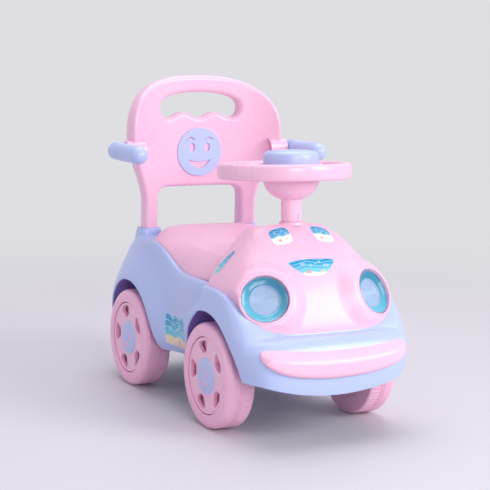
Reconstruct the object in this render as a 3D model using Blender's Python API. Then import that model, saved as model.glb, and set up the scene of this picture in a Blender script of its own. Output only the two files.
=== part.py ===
"""Kids push car: a ride-on toy of moulded plastic, built from its separate pieces.

Metres, +Z up, the nose points along -Y, and the origin is on the floor under the
middle of the car. Every piece is its own object, named as its node.
"""

import math

import bmesh
import bpy
import numpy as np
from mathutils import Matrix, Vector

for old in list(bpy.data.objects):
    bpy.data.objects.remove(old, do_unlink=True)

# Gaps between touching pieces, and running clearance of turning ones
SEAT_GAP = 0.0003
RUNNING = 0.00006
LEDGE = 0.0012
LEDGE_GAP = 0.0008

# Wheels and axles
WHEEL_RADIUS = 0.0775
WHEEL_WIDTH = 0.044
WHEELBASE = 0.287
FRONT_AXLE_Y = -0.1288
WHEEL_FACE_X = 0.141
RIM_RADIUS = 0.0566
RIM_DEPTH = 0.020
HUB_CAP_RADIUS = 0.0271
HUB_CAP_DEPTH = 0.005
RIM_WINDOWS = 5
TYRE_SIDES = 24
RIM_SIDES = 16
AXLE_RADIUS = 0.004
AXLE_HEIGHT = WHEEL_RADIUS
REAR_AXLE_Y = FRONT_AXLE_Y + WHEELBASE
WINDOW_OUTER = 0.0515
WINDOW_INNER = 0.0335
SPACER_RADIUS = 0.009

# Body shell
BODY_HALF_WIDTH = 0.1275
NOSE_REACH = 0.2735
TAIL_REACH = 0.2848
SILL_HEIGHT = 0.077
NOSE_DIP = 0.008
NOSE_CORNER_LIFT = 0.0167
NOSE_SEAM_HEIGHT = 0.151
COWL_RISE = 0.0553
COWL_LENGTH = 0.1005
COWL_POWER = 0.8
SHOULDER_RISE = 0.0332
SHOULDER_START_Y = -0.0161
SHOULDER_LENGTH = 0.125
SHOULDER_DROP_IN = 0.0121
SHOULDER_ROLL_FRONT = 4.3
SHOULDER_ROLL_REAR = 2.85
SHOULDER_ROLL_LENGTH = 0.12
NOSE_DROP_IN = 0.0359
NOSE_SEAM_REACH = NOSE_REACH - NOSE_DROP_IN
NOSE_ROLL = 2.5
TAIL_DROP_IN = 0.0695
TAIL_ROLL = 2.0
TUCK_IN = 0.005
SILL_TUCK = 0.018
SILL_TUCK_POWER = 8
SILL_TUCK_START_Y = -0.130
SILL_TUCK_FADE = 0.080
NOSE_FOOT_POWER = 9.2
NOSE_TOP_POWER = 7.3
TAIL_FOOT_POWER = 9.5
TAIL_TOP_POWER = 4.8

# Front fenders: they start far back at the wheel's height, and close behind the hood above
NOSE_SWELL = 0.0214
NOSE_SWELL_FADE = 0.36
SWELL_LOW_Z = 0.130
SWELL_HIGH_Z = 0.200
SWELL_LOW_START_Y = -0.010
SWELL_LOW_LENGTH = 0.110
SWELL_HIGH_START_Y = -0.088
SWELL_HIGH_LENGTH = 0.020
SWELL_EDGE_POWER = 5.0
NOSE_FOOT_TUCK = 0.0137
NOSE_FOOT_START_Y = -0.130
NOSE_FOOT_LENGTH = 0.090

# Rear fenders and the four wheel arches
FENDER_FLARE = 0.0155
FENDER_REACH = 0.150
FENDER_EDGE_POWER = 3.6
FRONT_ARCH_RADIUS = 0.0947
REAR_ARCH_RADIUS = 0.094
WELL_DEPTH_X = 0.088
HANGER_INNER_X = 0.074
HANGER_HALF_Y = 0.013
HANGER_DROP = 0.013
WALL = 0.0028
TOP_WALL = 0.003
POCKET_DEPTH = 0.006

# Storage bin under the seat
BIN_HALF_WIDTH = 0.070
BIN_FRONT_Y = -0.0512
BIN_BACK_Y = 0.1128
BIN_FLOOR_Z = 0.112

# Hood
HOOD_REAR_Y = -0.1002
HOOD_TOP_Z = 0.295
HOOD_SHOULDER_Z = 0.288
HOOD_TOP_HALF_WIDTH = 0.060
HOOD_TOP_REACH = 0.030
HOOD_SIDE_BULGE = 1.18
HOOD_NOSE_BULGE = 1.42
HOOD_WALL = 0.0028

# Headlights
LAMP_X = 0.0897
LAMP_SETBACK = 0.0603
LAMP_Y = -(NOSE_REACH - LAMP_SETBACK)
LAMP_Z = 0.2017
LAMP_RADIUS = 0.034
LAMP_OUTWARD = math.radians(24.0)
LAMP_UPWARD = math.radians(25.6)
LAMP_DEPTH = 0.009
LAMP_RIM = 0.0022
POD_DEPTH = 0.030
POD_BASE_RADIUS = 0.044
POD_FOOT = 0.0015
POD_RELIEF = 0.0016

# Bumper bar
BUMPER_HALF_WIDTH = 0.118
BUMPER_END_Z = 0.1315
BUMPER_MIDDLE_Z = 0.1135
BUMPER_HALF_HEIGHT = 0.0190
BUMPER_END_HALF_HEIGHT = 0.0125
BUMPER_PROUD = 0.0082
BUMPER_SINK = 0.008
PEG_X = 0.060
PEG_Z = 0.116
PEG_RADIUS = 0.004
PEG_TIP_INSET = 0.0115
PEG_LENGTH = 0.013

# Seat
SEAT_FRONT_Y = -0.0952
SEAT_BACK_Y = 0.1748
SEAT_TOP_Z = 0.246
SEAT_TOP_HALF_WIDTH = 0.088
SEAT_BACK_RISE = 0.010
SEAT_WALL = 0.0028
SEAT_MIDDLE_Y = 0.0398
HINGE_Y = -0.0842
HINGE_Z = 0.2335
HINGE_PIN_RADIUS = 0.002
HINGE_HALF_SPAN = 0.071
LUG_RADIUS = 0.0045
LUG_HALF = 0.0025
LUG_X = 0.0670
LUG_SWEEP = 0.0085
LUG_SIDE_GAP = 0.0006
EAR_X = 0.0610

# Steering
COLUMN_Y = -0.1222
STEERING_LEAN = math.radians(3.5)
NECK_RADIUS = 0.0151
NECK_TOP_Z = 0.329
BOWL_RADIUS = 0.0416
RING_BOTTOM_Z = 0.358
RING_TOP_Z = 0.382
RING_RADIUS = 0.100
RING_WIDTH = 0.017
RING_OFFSET = 0.021
HORN_RADIUS = 0.0414
HORN_TOP_Z = 0.402
HORN_TRAVEL = 0.003
HORN_WELL_DEPTH = 0.0085
SHAFT_RADIUS = 0.006
SHAFT_FOOT_Z = 0.184
SHAFT_TOP = 0.062
BUSH_RADIUS = 0.0095
BUSH_HOLE = (BUSH_RADIUS + SEAT_GAP) / math.cos(math.pi / 12)
LOWER_BUSH_DROP = 0.106
LOWER_BUSH_LENGTH = 0.018
CLIP_THICKNESS = 0.0015
COLLAR_RADIUS = 0.0178
COLLAR_HEIGHT = 0.0012
HUB_DISC_RADIUS = 0.047
SPOKE_HALF = 0.011
SPRING_POCKET_RADIUS = 0.0105
SPRING_RADIUS = 0.0082
SPRING_WIRE = 0.0006
STEERING = Matrix.Translation((0.0, COLUMN_Y, HOOD_TOP_Z)) @ Matrix.Rotation(-STEERING_LEAN, 4, "X")

# Backrest
BACK_FRONT_Y = 0.1948
BACK_THICKNESS = 0.022
BACK_WRAP = 0.045
WING_THICKENING = 0.020
POST_OUTER_X = 0.101
POST_INNER_X = 0.074
SOCKET_TOP_Z = 0.2505
BACK_TOP_Z = 0.497
BACK_HALF_WIDTH = 0.1345
LOWER_GAP_TOP_Z = 0.315
POST_TONGUE = 0.034
TONGUE_HALF_X = 0.0110
TONGUE_HALF_Y = 0.0085
TOWER_HALF_X = 0.0168
TOWER_HALF_Y = 0.0168
BACK_EDGE = 0.007
GAP_CORNER = 0.016
HAND_HALF_WIDTH = 0.071
HAND_END_Z = 0.445
HAND_TOP_Z = 0.470
HAND_CORNER = 0.0135
HAND_WAVE_Z = 0.4325
HAND_WAVE = 0.0045
BADGE_Z = 0.372
BADGE_RADIUS = 0.040
BADGE_DEPTH = 0.004

# Handle bars
HANDLE_X = 0.159
HANDLE_Z = 0.379
HANDLE_RADIUS = 0.014
HANDLE_FRONT_Y = 0.0628
HANDLE_BACK_Y = 0.1788
HANDLE_STUB_Y = 0.1648
HANDLE_STUB_RADIUS = 0.009
STUB_END_X = 0.132
LUG_BOSS = 0.0155

SCREW_RADIUS = 0.0032
SCREW_SHANK = 0.0016
SCREW_HOLE = 0.0020
BOSS_RADIUS = 0.0045
HOOD_SCREW_PLACES = ((0.070, 0.0733 - NOSE_REACH), (0.082, HOOD_REAR_Y - 0.030))

PINK = (0.96, 0.56, 0.74)
BLUE = (0.50, 0.58, 0.90)


def plastic(name, colour, roughness=0.28, metallic=0.0):
    """One Principled material of a single colour."""
    found = bpy.data.materials.new(name)
    found.use_nodes = True
    shader = found.node_tree.nodes["Principled BSDF"]
    shader.inputs["Base Color"].default_value = (*colour, 1.0)
    shader.inputs["Roughness"].default_value = roughness
    shader.inputs["Metallic"].default_value = metallic
    found.diffuse_color = (*colour, 1.0)
    return found


PINK_PLASTIC = plastic("pink_plastic", PINK)
BLUE_PLASTIC = plastic("blue_plastic", BLUE)
TEAL = plastic("teal_reflector", (0.02, 0.48, 0.62), 0.2)
LENS = plastic("pale_lens", (0.62, 0.82, 0.90), 0.08)
STEEL = plastic("zinc_steel", (0.62, 0.62, 0.64), 0.35, 1.0)
DARK = plastic("dark_plastic", (0.12, 0.12, 0.14), 0.5)


def show(name, mesh, finish, angle=35.0):
    """Puts a mesh into the scene as a named piece, shaded smooth up to an angle."""
    mesh.name = name
    piece = bpy.data.objects.new(name, mesh)
    bpy.context.scene.collection.objects.link(piece)
    mesh.materials.clear()
    mesh.materials.append(finish)
    mesh.shade_smooth()
    mesh.set_sharp_from_angle(angle=math.radians(angle))
    return piece


def hide(piece):
    """Marks a piece as a cutter, which is not part of the object."""
    piece.hide_render = True
    piece.display_type = "WIRE"
    return piece


def cut(piece, tool, operation="DIFFERENCE", solver="EXACT"):
    """Adds a live Boolean of the tool to the piece."""
    step = piece.modifiers.new(operation.lower(), "BOOLEAN")
    step.operation = operation
    step.solver = solver
    step.object = tool
    return piece


def mesh_from(bm, name="mesh"):
    """Turns the faces of a closed bmesh outwards and gives its mesh."""
    bmesh.ops.recalc_face_normals(bm, faces=bm.faces)
    mesh = bpy.data.meshes.new(name)
    bm.to_mesh(mesh)
    bm.free()
    return mesh


def loft(loops, caps="ruled"):
    """Closed solid through loops of equal count; a ruled cap joins mirrored points of a loop."""
    bm = bmesh.new()
    rows = [[bm.verts.new(point) for point in loop] for loop in loops]
    count = len(rows[0])
    for low, high in zip(rows, rows[1:]):
        for i in range(count):
            j = (i + 1) % count
            bm.faces.new((low[i], low[j], high[j], high[i]))
    for row in (rows[0], rows[-1]):
        if caps == "ruled":
            for i in range(count // 2):
                ring = [row[i], row[i + 1], row[count - i - 1], row[(count - i) % count]]
                bm.faces.new(list(dict.fromkeys(ring)))
        else:
            bm.faces.new(row)
    return mesh_from(bm)


def lathe(profile, segments, axis="X", centre=(0.0, 0.0, 0.0)):
    """Solid turned about an axis from (radius, distance along the axis) points, one closed outline."""
    bm = bmesh.new()
    rings = []
    for radius, along in profile:
        if radius < 1e-7:
            rings.append([bm.verts.new((0.0, 0.0, along))])
            continue
        turn = [2.0 * math.pi * k / segments for k in range(segments)]
        rings.append([bm.verts.new((radius * math.cos(t), radius * math.sin(t), along)) for t in turn])
    for a, b in zip(rings, rings[1:] + rings[:1]):
        if len(a) == 1 and len(b) == 1:
            continue
        for k in range(segments):
            m = (k + 1) % segments
            corners = [a[k % len(a)], a[m % len(a)], b[m % len(b)], b[k % len(b)]]
            bm.faces.new(list(dict.fromkeys(corners)))
    turned = {"X": Matrix.Rotation(math.pi / 2.0, 4, "Y"), "Y": Matrix.Rotation(-math.pi / 2.0, 4, "X")}
    matrix = Matrix.Translation(centre) @ turned.get(axis, Matrix.Identity(4))
    bmesh.ops.transform(bm, matrix=matrix, verts=bm.verts)
    return mesh_from(bm)


def block(low, high, rounding=0.0):
    """Box between two corners, with its edges rounded."""
    low, high = Vector(low), Vector(high)
    bm = bmesh.new()
    bmesh.ops.create_cube(bm, size=1.0)
    size = high - low
    place = Matrix.Translation((low + high) / 2.0) @ Matrix.Diagonal((*size, 1.0))
    bmesh.ops.transform(bm, matrix=place, verts=bm.verts)
    if rounding:
        bmesh.ops.bevel(bm, geom=bm.edges[:], offset=rounding, segments=2, affect="EDGES", profile=0.5)
    return mesh_from(bm)


def rod(start, end, radius, segments=16):
    """Round bar between two points."""
    start, end = Vector(start), Vector(end)
    along = end - start
    bm = bmesh.new()
    bmesh.ops.create_cone(bm, cap_ends=True, segments=segments, radius1=radius, radius2=radius,
                          depth=along.length)
    turn = along.to_track_quat("Z", "Y").to_matrix().to_4x4()
    bmesh.ops.transform(bm, matrix=Matrix.Translation((start + end) / 2.0) @ turn, verts=bm.verts)
    return mesh_from(bm)


def joined(meshes):
    """Several separate solids in one mesh, as a group of like fasteners."""
    bm = bmesh.new()
    for mesh in meshes:
        bm.from_mesh(mesh)
    return mesh_from(bm)


def smooth(t):
    """Smoothstep: 3t^2 - 2t^3 between 0 and 1."""
    t = np.clip(t, 0.0, 1.0)
    return t * t * (3.0 - 2.0 * t)


def rollover(rise, power):
    """Inward share of a rounded shoulder: 0 at the foot, 1 at the top, level at the top."""
    return 1.0 - (1.0 - np.clip(rise, 0.0, 1.0) ** power) ** (1.0 / power)


def superellipse(turn, half_width, front, back, power):
    """x = w cos^(2/n), y = reach sin^(2/n); the front reach counts where the sine is negative."""
    c, s = np.cos(turn), np.sin(turn)
    c = np.where(np.abs(c) < 1e-12, 0.0, c)
    x = half_width * np.sign(c) * np.abs(c) ** (2.0 / power)
    y = np.where(s < 0.0, front, back) * np.sign(s) * np.abs(s) ** (2.0 / power)
    return x, y


def outline_power(turn, rise):
    """Squareness of the plan outline: higher in front, where the sine is negative, than behind."""
    front = NOSE_FOOT_POWER - (NOSE_FOOT_POWER - NOSE_TOP_POWER) * rise
    back = TAIL_FOOT_POWER - (TAIL_FOOT_POWER - TAIL_TOP_POWER) * rise
    return np.where(np.sin(turn) < 0.0, front, back)


CORNER_SHARE = 0.045


def even_turns(count, half_width, front, back, rise, start=-math.pi / 2.0, end=math.pi / 2.0):
    """Angles that cut the right half of the outline into even steps of length and of turning."""
    fine = np.linspace(start, end, 4001)
    x, y = superellipse(fine, half_width, front, back, outline_power(fine, rise))
    dx, dy = np.diff(x), np.diff(y)
    heading = np.unwrap(np.arctan2(dy, dx))
    bend = np.abs(np.diff(heading, prepend=heading[0]))
    length = np.concatenate([[0.0], np.cumsum(np.hypot(dx, dy) + CORNER_SHARE * bend)])
    return np.interp(np.linspace(0.0, length[-1], count + 1), length, fine)


def mirrored(right):
    """Closed loop from the right half of one, which starts on the middle plane and may end on it."""
    right = right.copy()
    right[0, 0] = 0.0
    on_plane = abs(right[-1, 0]) < 1e-6
    if on_plane:
        right[-1, 0] = 0.0
    left = right[-2 if on_plane else -1:0:-1] * np.array([-1.0, 1.0, 1.0])
    return np.concatenate([right, left])


def with_fender_steps(turns):
    """Adds the angles at which the outline crosses the rear end of the front fenders."""
    high = SWELL_HIGH_START_Y - SWELL_HIGH_LENGTH * np.array([0.0, 0.3, 0.65, 1.0])
    low = SWELL_LOW_START_Y - SWELL_LOW_LENGTH * np.array([0.15, 0.4])
    places = np.concatenate([high, low])
    fine = np.linspace(-0.5 * math.pi, -0.001, 4001)
    y = superellipse(fine, 1.0, NOSE_REACH, 1.0, outline_power(fine, 0.5))[1]
    added = np.interp(places, y, fine)
    kept = [turn for turn in turns if np.min(np.abs(added - turn)) > 0.03 or abs(turn) > 1.2]
    return np.unique(np.concatenate([kept, added]))


BODY_TURNS = with_fender_steps(even_turns(18, BODY_HALF_WIDTH, NOSE_REACH, TAIL_REACH, 0.5))


def seam_height(y):
    """Top edge of the shell: low at the nose, up over the cowl, up again to the shoulders."""
    share = np.clip((y + NOSE_SEAM_REACH) / COWL_LENGTH, 0.0, 1.0)
    cowl = COWL_RISE * np.sin(0.5 * math.pi * share) ** COWL_POWER
    return NOSE_SEAM_HEIGHT + cowl + SHOULDER_RISE * smooth((y - SHOULDER_START_Y) / SHOULDER_LENGTH)


def nose_swell(y, z):
    """How far the front fenders stand out from the waist; their rear end leans back lower down."""
    high = smooth((z - SWELL_LOW_Z) / (SWELL_HIGH_Z - SWELL_LOW_Z))
    start = SWELL_LOW_START_Y + (SWELL_HIGH_START_Y - SWELL_LOW_START_Y) * high
    length = SWELL_LOW_LENGTH + (SWELL_HIGH_LENGTH - SWELL_LOW_LENGTH) * high
    return NOSE_SWELL * smooth((start - y) / length) * (1.0 - NOSE_SWELL_FADE * high)


def rear_flare(y, z):
    """How far the rear fenders swell outwards near the wheels."""
    distance = np.hypot(y - REAR_AXLE_Y, z - AXLE_HEIGHT)
    return FENDER_FLARE * smooth((FENDER_REACH - distance) / (FENDER_REACH - REAR_ARCH_RADIUS))


def body_half(turn, rise, inset=0.0, drop=0.0):
    """Right half of the shell's outline at a share of its height; inset moves it inwards."""
    tuck = TUCK_IN * (1.0 - rise) ** 2
    front = NOSE_REACH - NOSE_DROP_IN * rollover(rise, NOSE_ROLL) - tuck - inset
    back = TAIL_REACH - TAIL_DROP_IN * rollover(rise, TAIL_ROLL) - tuck - inset
    unit_x, y = superellipse(turn, 1.0, front, back, outline_power(turn, rise))
    to_rear = smooth(y / SHOULDER_ROLL_LENGTH)
    roll = SHOULDER_ROLL_FRONT + (SHOULDER_ROLL_REAR - SHOULDER_ROLL_FRONT) * to_rear
    half_width = BODY_HALF_WIDTH - SHOULDER_DROP_IN * rollover(rise, roll) - 0.6 * tuck - inset
    x = half_width * unit_x
    across = (x / BODY_HALF_WIDTH) ** 2
    dip = NOSE_DIP * smooth(-3.0 * y / NOSE_REACH - 2.0) * (1.0 - across)
    lift = NOSE_CORNER_LIFT * smooth(-2.0 * y / NOSE_REACH - 1.0) * across
    low = SILL_HEIGHT - dip + lift
    z = low + rise * (seam_height(y) - low)
    foot = NOSE_FOOT_TUCK * smooth((NOSE_FOOT_START_Y - y) / NOSE_FOOT_LENGTH) * (1.0 - rise) ** 1.5
    sill = SILL_TUCK * (1.0 - rise) ** SILL_TUCK_POWER * smooth((y - SILL_TUCK_START_Y) / SILL_TUCK_FADE)
    out = (nose_swell(y, z) - foot) * unit_x ** SWELL_EDGE_POWER
    out += rear_flare(y, z) * unit_x ** FENDER_EDGE_POWER - sill * unit_x
    return np.stack([x + out, y, z - rise * drop], axis=1)


BODY_RISES = np.concatenate([(0.0, 0.07, 0.17), np.sin(np.linspace(0.12, 0.5, 5) * math.pi)])


def body_volume(inset, drop, foot):
    """Closed loaf of the shell's outside, or of its hollow when inset."""
    loops = [mirrored(body_half(BODY_TURNS, rise, inset, drop)) for rise in BODY_RISES]
    if foot:
        lower = loops[0].copy()
        lower[:, 2] -= foot
        loops.insert(0, lower)
    return loft(loops)


def body_point(turn, height, inset=0.0):
    """Point of the shell's outside at a height, found by stepping the share of the height."""
    rise = np.full_like(turn, 0.5)
    for _ in range(12):
        at = body_half(turn, rise, inset)
        span = seam_height(at[:, 1]) - SILL_HEIGHT
        rise = np.clip(rise + (height - at[:, 2]) / span, 0.0, 1.0)
    return body_half(turn, rise, inset)


def waist_half_width(y):
    """Half width of the shell's top edge beside the seat, behind the front fenders."""
    reach = np.where(y < 0.0, NOSE_SEAM_REACH, TAIL_REACH - TAIL_DROP_IN)
    power = np.where(y < 0.0, NOSE_TOP_POWER, TAIL_TOP_POWER)
    share = np.clip(1.0 - np.abs(y / reach) ** power, 0.0, 1.0) ** (1.0 / power)
    return (BODY_HALF_WIDTH - SHOULDER_DROP_IN) * share + rear_flare(y, seam_height(y))


# Hood

HOOD_SIDE_STEPS = 11


def hood_loops(inset, foot, rows=6):
    """Outline loops of the hood from its foot in the seam pocket to its top, moved in by inset."""
    front = NOSE_SEAM_REACH - LEDGE - LEDGE_GAP
    fine = np.linspace(-0.5 * math.pi, -0.001, 2001)
    x, y = superellipse(fine, BODY_HALF_WIDTH, front, TAIL_REACH, NOSE_TOP_POWER)
    last = fine[np.searchsorted(y, HOOD_REAR_Y)]
    turns = even_turns(HOOD_SIDE_STEPS, BODY_HALF_WIDTH, front, TAIL_REACH, 1.0, end=last)
    base = body_half(turns, 1.0, LEDGE + LEDGE_GAP + inset)
    base[-1, 1] = HOOD_REAR_Y
    base[:, 1] = np.minimum(base[:, 1], HOOD_REAR_Y - inset)
    quarter = np.linspace(0.0, 0.5 * math.pi, len(turns))
    crown = np.stack([
        (HOOD_TOP_HALF_WIDTH - inset) * np.sin(quarter) ** 0.8,
        HOOD_REAR_Y - inset - (HOOD_TOP_REACH - inset) * np.cos(quarter) ** 0.8,
        np.zeros(len(turns))], axis=1)
    fall = HOOD_TOP_Z - HOOD_SHOULDER_Z
    crown[:, 2] = HOOD_TOP_Z - inset - fall * (crown[:, 0] / HOOD_TOP_HALF_WIDTH) ** 2
    low = base.copy()
    low[:, 2] -= foot
    bulge = HOOD_NOSE_BULGE + (HOOD_SIDE_BULGE - HOOD_NOSE_BULGE) * np.linspace(0.0, 1.0, len(turns)) ** 1.2
    loops = [mirrored(low)]
    for angle in np.linspace(0.0, 0.5 * math.pi, rows):
        across = 1.0 - math.cos(angle) ** 1.4
        up = (1.0 - (1.0 - across) ** bulge) ** (1.0 / bulge)
        row = base + (crown - base) * across
        row[:, 2] = base[:, 2] + (crown[:, 2] - base[:, 2]) * up
        loops.append(mirrored(row))
    return loops


def lamp_frame(side):
    """Places a lamp's own axes, with Z along its optical axis."""
    axis = Vector((side * math.sin(LAMP_OUTWARD) * math.cos(LAMP_UPWARD),
                   -math.cos(LAMP_OUTWARD) * math.cos(LAMP_UPWARD), math.sin(LAMP_UPWARD)))
    turn = axis.to_track_quat("Z", "Y").to_matrix().to_4x4()
    return Matrix.Translation((side * LAMP_X, LAMP_Y, LAMP_Z)) @ turn


def placed(mesh, matrix):
    """The mesh moved by a matrix."""
    mesh.transform(matrix)
    return mesh


def lamp_pods(grow, foot):
    """Round pods behind the lamps, which stop above the pocket floor of the shell."""
    pods = []
    for side in (-1, 1):
        pod = lathe([(0.0, -POD_DEPTH), (POD_BASE_RADIUS + grow, -POD_DEPTH),
                     (LAMP_RADIUS + LAMP_RIM + grow, 0.0005 + grow), (LAMP_RADIUS + 0.0004, 0.0015 + grow),
                     (0.0, 0.0015 + grow)], 20, "Z")
        pods.append(placed(pod, lamp_frame(side)))
    name = "pod_clearance" if grow else "lamp_pods"
    tool = hide(show(name, joined(pods), DARK))
    return cut(tool, hide(show(f"{name}_floor", body_volume(-0.03, POCKET_DEPTH - foot, 0.0), DARK)))


HOOD_SCREWS = [(side * x, y) for side in (-1, 1) for x, y in HOOD_SCREW_PLACES]


def deck_height(y):
    """Floor of the pocket that the hood and the seat stand in."""
    return float(seam_height(np.array([y]))[0]) - POCKET_DEPTH


def build_hood():
    """Bulbous cover with a rear wall, open below, with a pod round each lamp."""
    hood = show("hood", loft(hood_loops(0.0, POCKET_DEPTH - SEAT_GAP)), PINK_PLASTIC, 40.0)
    hollow = hide(show("hood_hollow", loft(hood_loops(HOOD_WALL, 0.03, 4)), DARK))
    bosses = []
    for x, y in HOOD_SCREWS:
        bosses.append(rod((x, y, deck_height(y) + SEAT_GAP), (x, y, HOOD_TOP_Z), BOSS_RADIUS, 8))
    bosses.append(placed(rod((0.0, 0.0, -0.011), (0.0, 0.0, 0.0), COLLAR_RADIUS, 20), STEERING))
    cut(hollow, hide(show("hood_bosses", joined(bosses), DARK)))
    mouths = []
    for side in (-1, 1):
        mouth = lathe([(0.0, -LAMP_DEPTH - 0.0018), (LAMP_RADIUS, -LAMP_DEPTH - 0.0018),
                       (LAMP_RADIUS, 0.02), (0.0, 0.02)], 20, "Z")
        mouths.append(placed(mouth, lamp_frame(side)))
    cut(hood, lamp_pods(0.0, POD_FOOT), "UNION")
    collar = rod((0.0, 0.0, -0.012), (0.0, 0.0, COLLAR_HEIGHT), COLLAR_RADIUS, 20)
    cut(hood, hide(show("column_collar", placed(collar, STEERING), DARK)), "UNION")
    cut(hood, hollow)
    cut(hood, hide(show("lamp_mouths", joined(mouths), DARK)))
    holes = [rod((x, y, 0.1), (x, y, deck_height(y) + 0.012), SCREW_HOLE, 8) for x, y in HOOD_SCREWS]
    holes.append(placed(rod((0.0, 0.0, -0.02), (0.0, 0.0, 0.02), BUSH_HOLE, 12), STEERING))
    cut(hood, hide(show("hood_holes", joined(holes), DARK)), solver="MANIFOLD")
    return hood


# Body shell

SOCKET_X = 0.5 * (POST_OUTER_X + POST_INNER_X)


def back_front(x):
    """Front face of the backrest in plan: it wraps forwards towards its wings."""
    return BACK_FRONT_Y - BACK_WRAP * (np.abs(x) / BACK_HALF_WIDTH) ** 3


def back_depth(x):
    """Thickness of the backrest in plan: thicker at its wings."""
    return BACK_THICKNESS + WING_THICKENING * (np.abs(x) / BACK_HALF_WIDTH) ** 3


SOCKET_Y = float(back_front(SOCKET_X) + 0.5 * back_depth(SOCKET_X))


def rounded_loop(centre, half_x, half_y, height, count=12, power=4.0):
    """Level superellipse loop."""
    turn = np.linspace(0.0, 2.0 * math.pi, count, endpoint=False)
    x, y = superellipse(turn, half_x, half_y, half_y, power)
    return np.stack([centre[0] + x, centre[1] + y, np.full(count, height)], axis=1)


def socket_tower(side):
    """Tapered tower on the shoulder that takes a backrest post."""
    levels = [(0.190, 0.0140), (0.212, 0.0085), (0.228, 0.0035), (0.240, 0.0010), (SOCKET_TOP_Z, 0.0)]
    loops = [rounded_loop((side * SOCKET_X, SOCKET_Y), TOWER_HALF_X + grow, TOWER_HALF_Y + grow, z)
             for z, grow in levels]
    return loft(loops, caps="flat")


def seat_half(inset, share, level):
    """Right half of the seat's outline; share 0 is its foot in the seam, 1 its top face."""
    turn = np.linspace(-0.5 * math.pi, 0.5 * math.pi, 17)
    middle = SEAT_MIDDLE_Y
    c, s = np.cos(turn), np.sin(turn)
    power = np.where(s < 0.0, 9.0, 4.0)
    unit_x = np.abs(c) ** (2.0 / power)
    unit_y = np.sign(s) * np.abs(s) ** (2.0 / power)
    foot_y = middle + unit_y * np.where(s < 0.0, middle - SEAT_FRONT_Y - inset, SEAT_BACK_Y - middle - inset)
    foot_x = unit_x * (waist_half_width(foot_y) - LEDGE - LEDGE_GAP - inset)
    foot_z = seam_height(foot_y)
    top_y = middle + unit_y * np.where(s < 0.0, middle - SEAT_FRONT_Y - 0.004 - inset,
                                       SEAT_BACK_Y - 0.008 - middle - inset)
    top_x = unit_x * (SEAT_TOP_HALF_WIDTH - inset)
    top_z = SEAT_TOP_Z + SEAT_BACK_RISE * smooth((top_y - SEAT_MIDDLE_Y - 0.055) / 0.07) - inset
    x = foot_x + (top_x - foot_x) * share
    y = foot_y + (top_y - foot_y) * share
    z = foot_z + (top_z - foot_z) * level
    half = np.stack([x, y, z], axis=1)
    half[0, 0] = half[-1, 0] = 0.0
    return half


def seat_loops(inset, foot, rows=5):
    """Loops of the seat lid from its foot in the pocket to its flat top."""
    low = seat_half(inset, 0.0, 0.0)
    low[:, 2] -= foot
    loops = [mirrored(low)]
    for angle in np.linspace(0.0, 0.5 * math.pi, rows):
        share = 1.0 - math.cos(angle) ** 1.2
        level = (1.0 - (1.0 - share) ** 1.5) ** (1.0 / 1.5)
        loops.append(mirrored(seat_half(inset, share, level)))
    return loops


def pocket(outline_loop, grow_z):
    """Cutter over an outline, from the pocket floor up."""
    low = outline_loop.copy()
    high = outline_loop.copy()
    low[:, 2] -= POCKET_DEPTH
    high[:, 2] += grow_z
    return loft([low, high])


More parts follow.
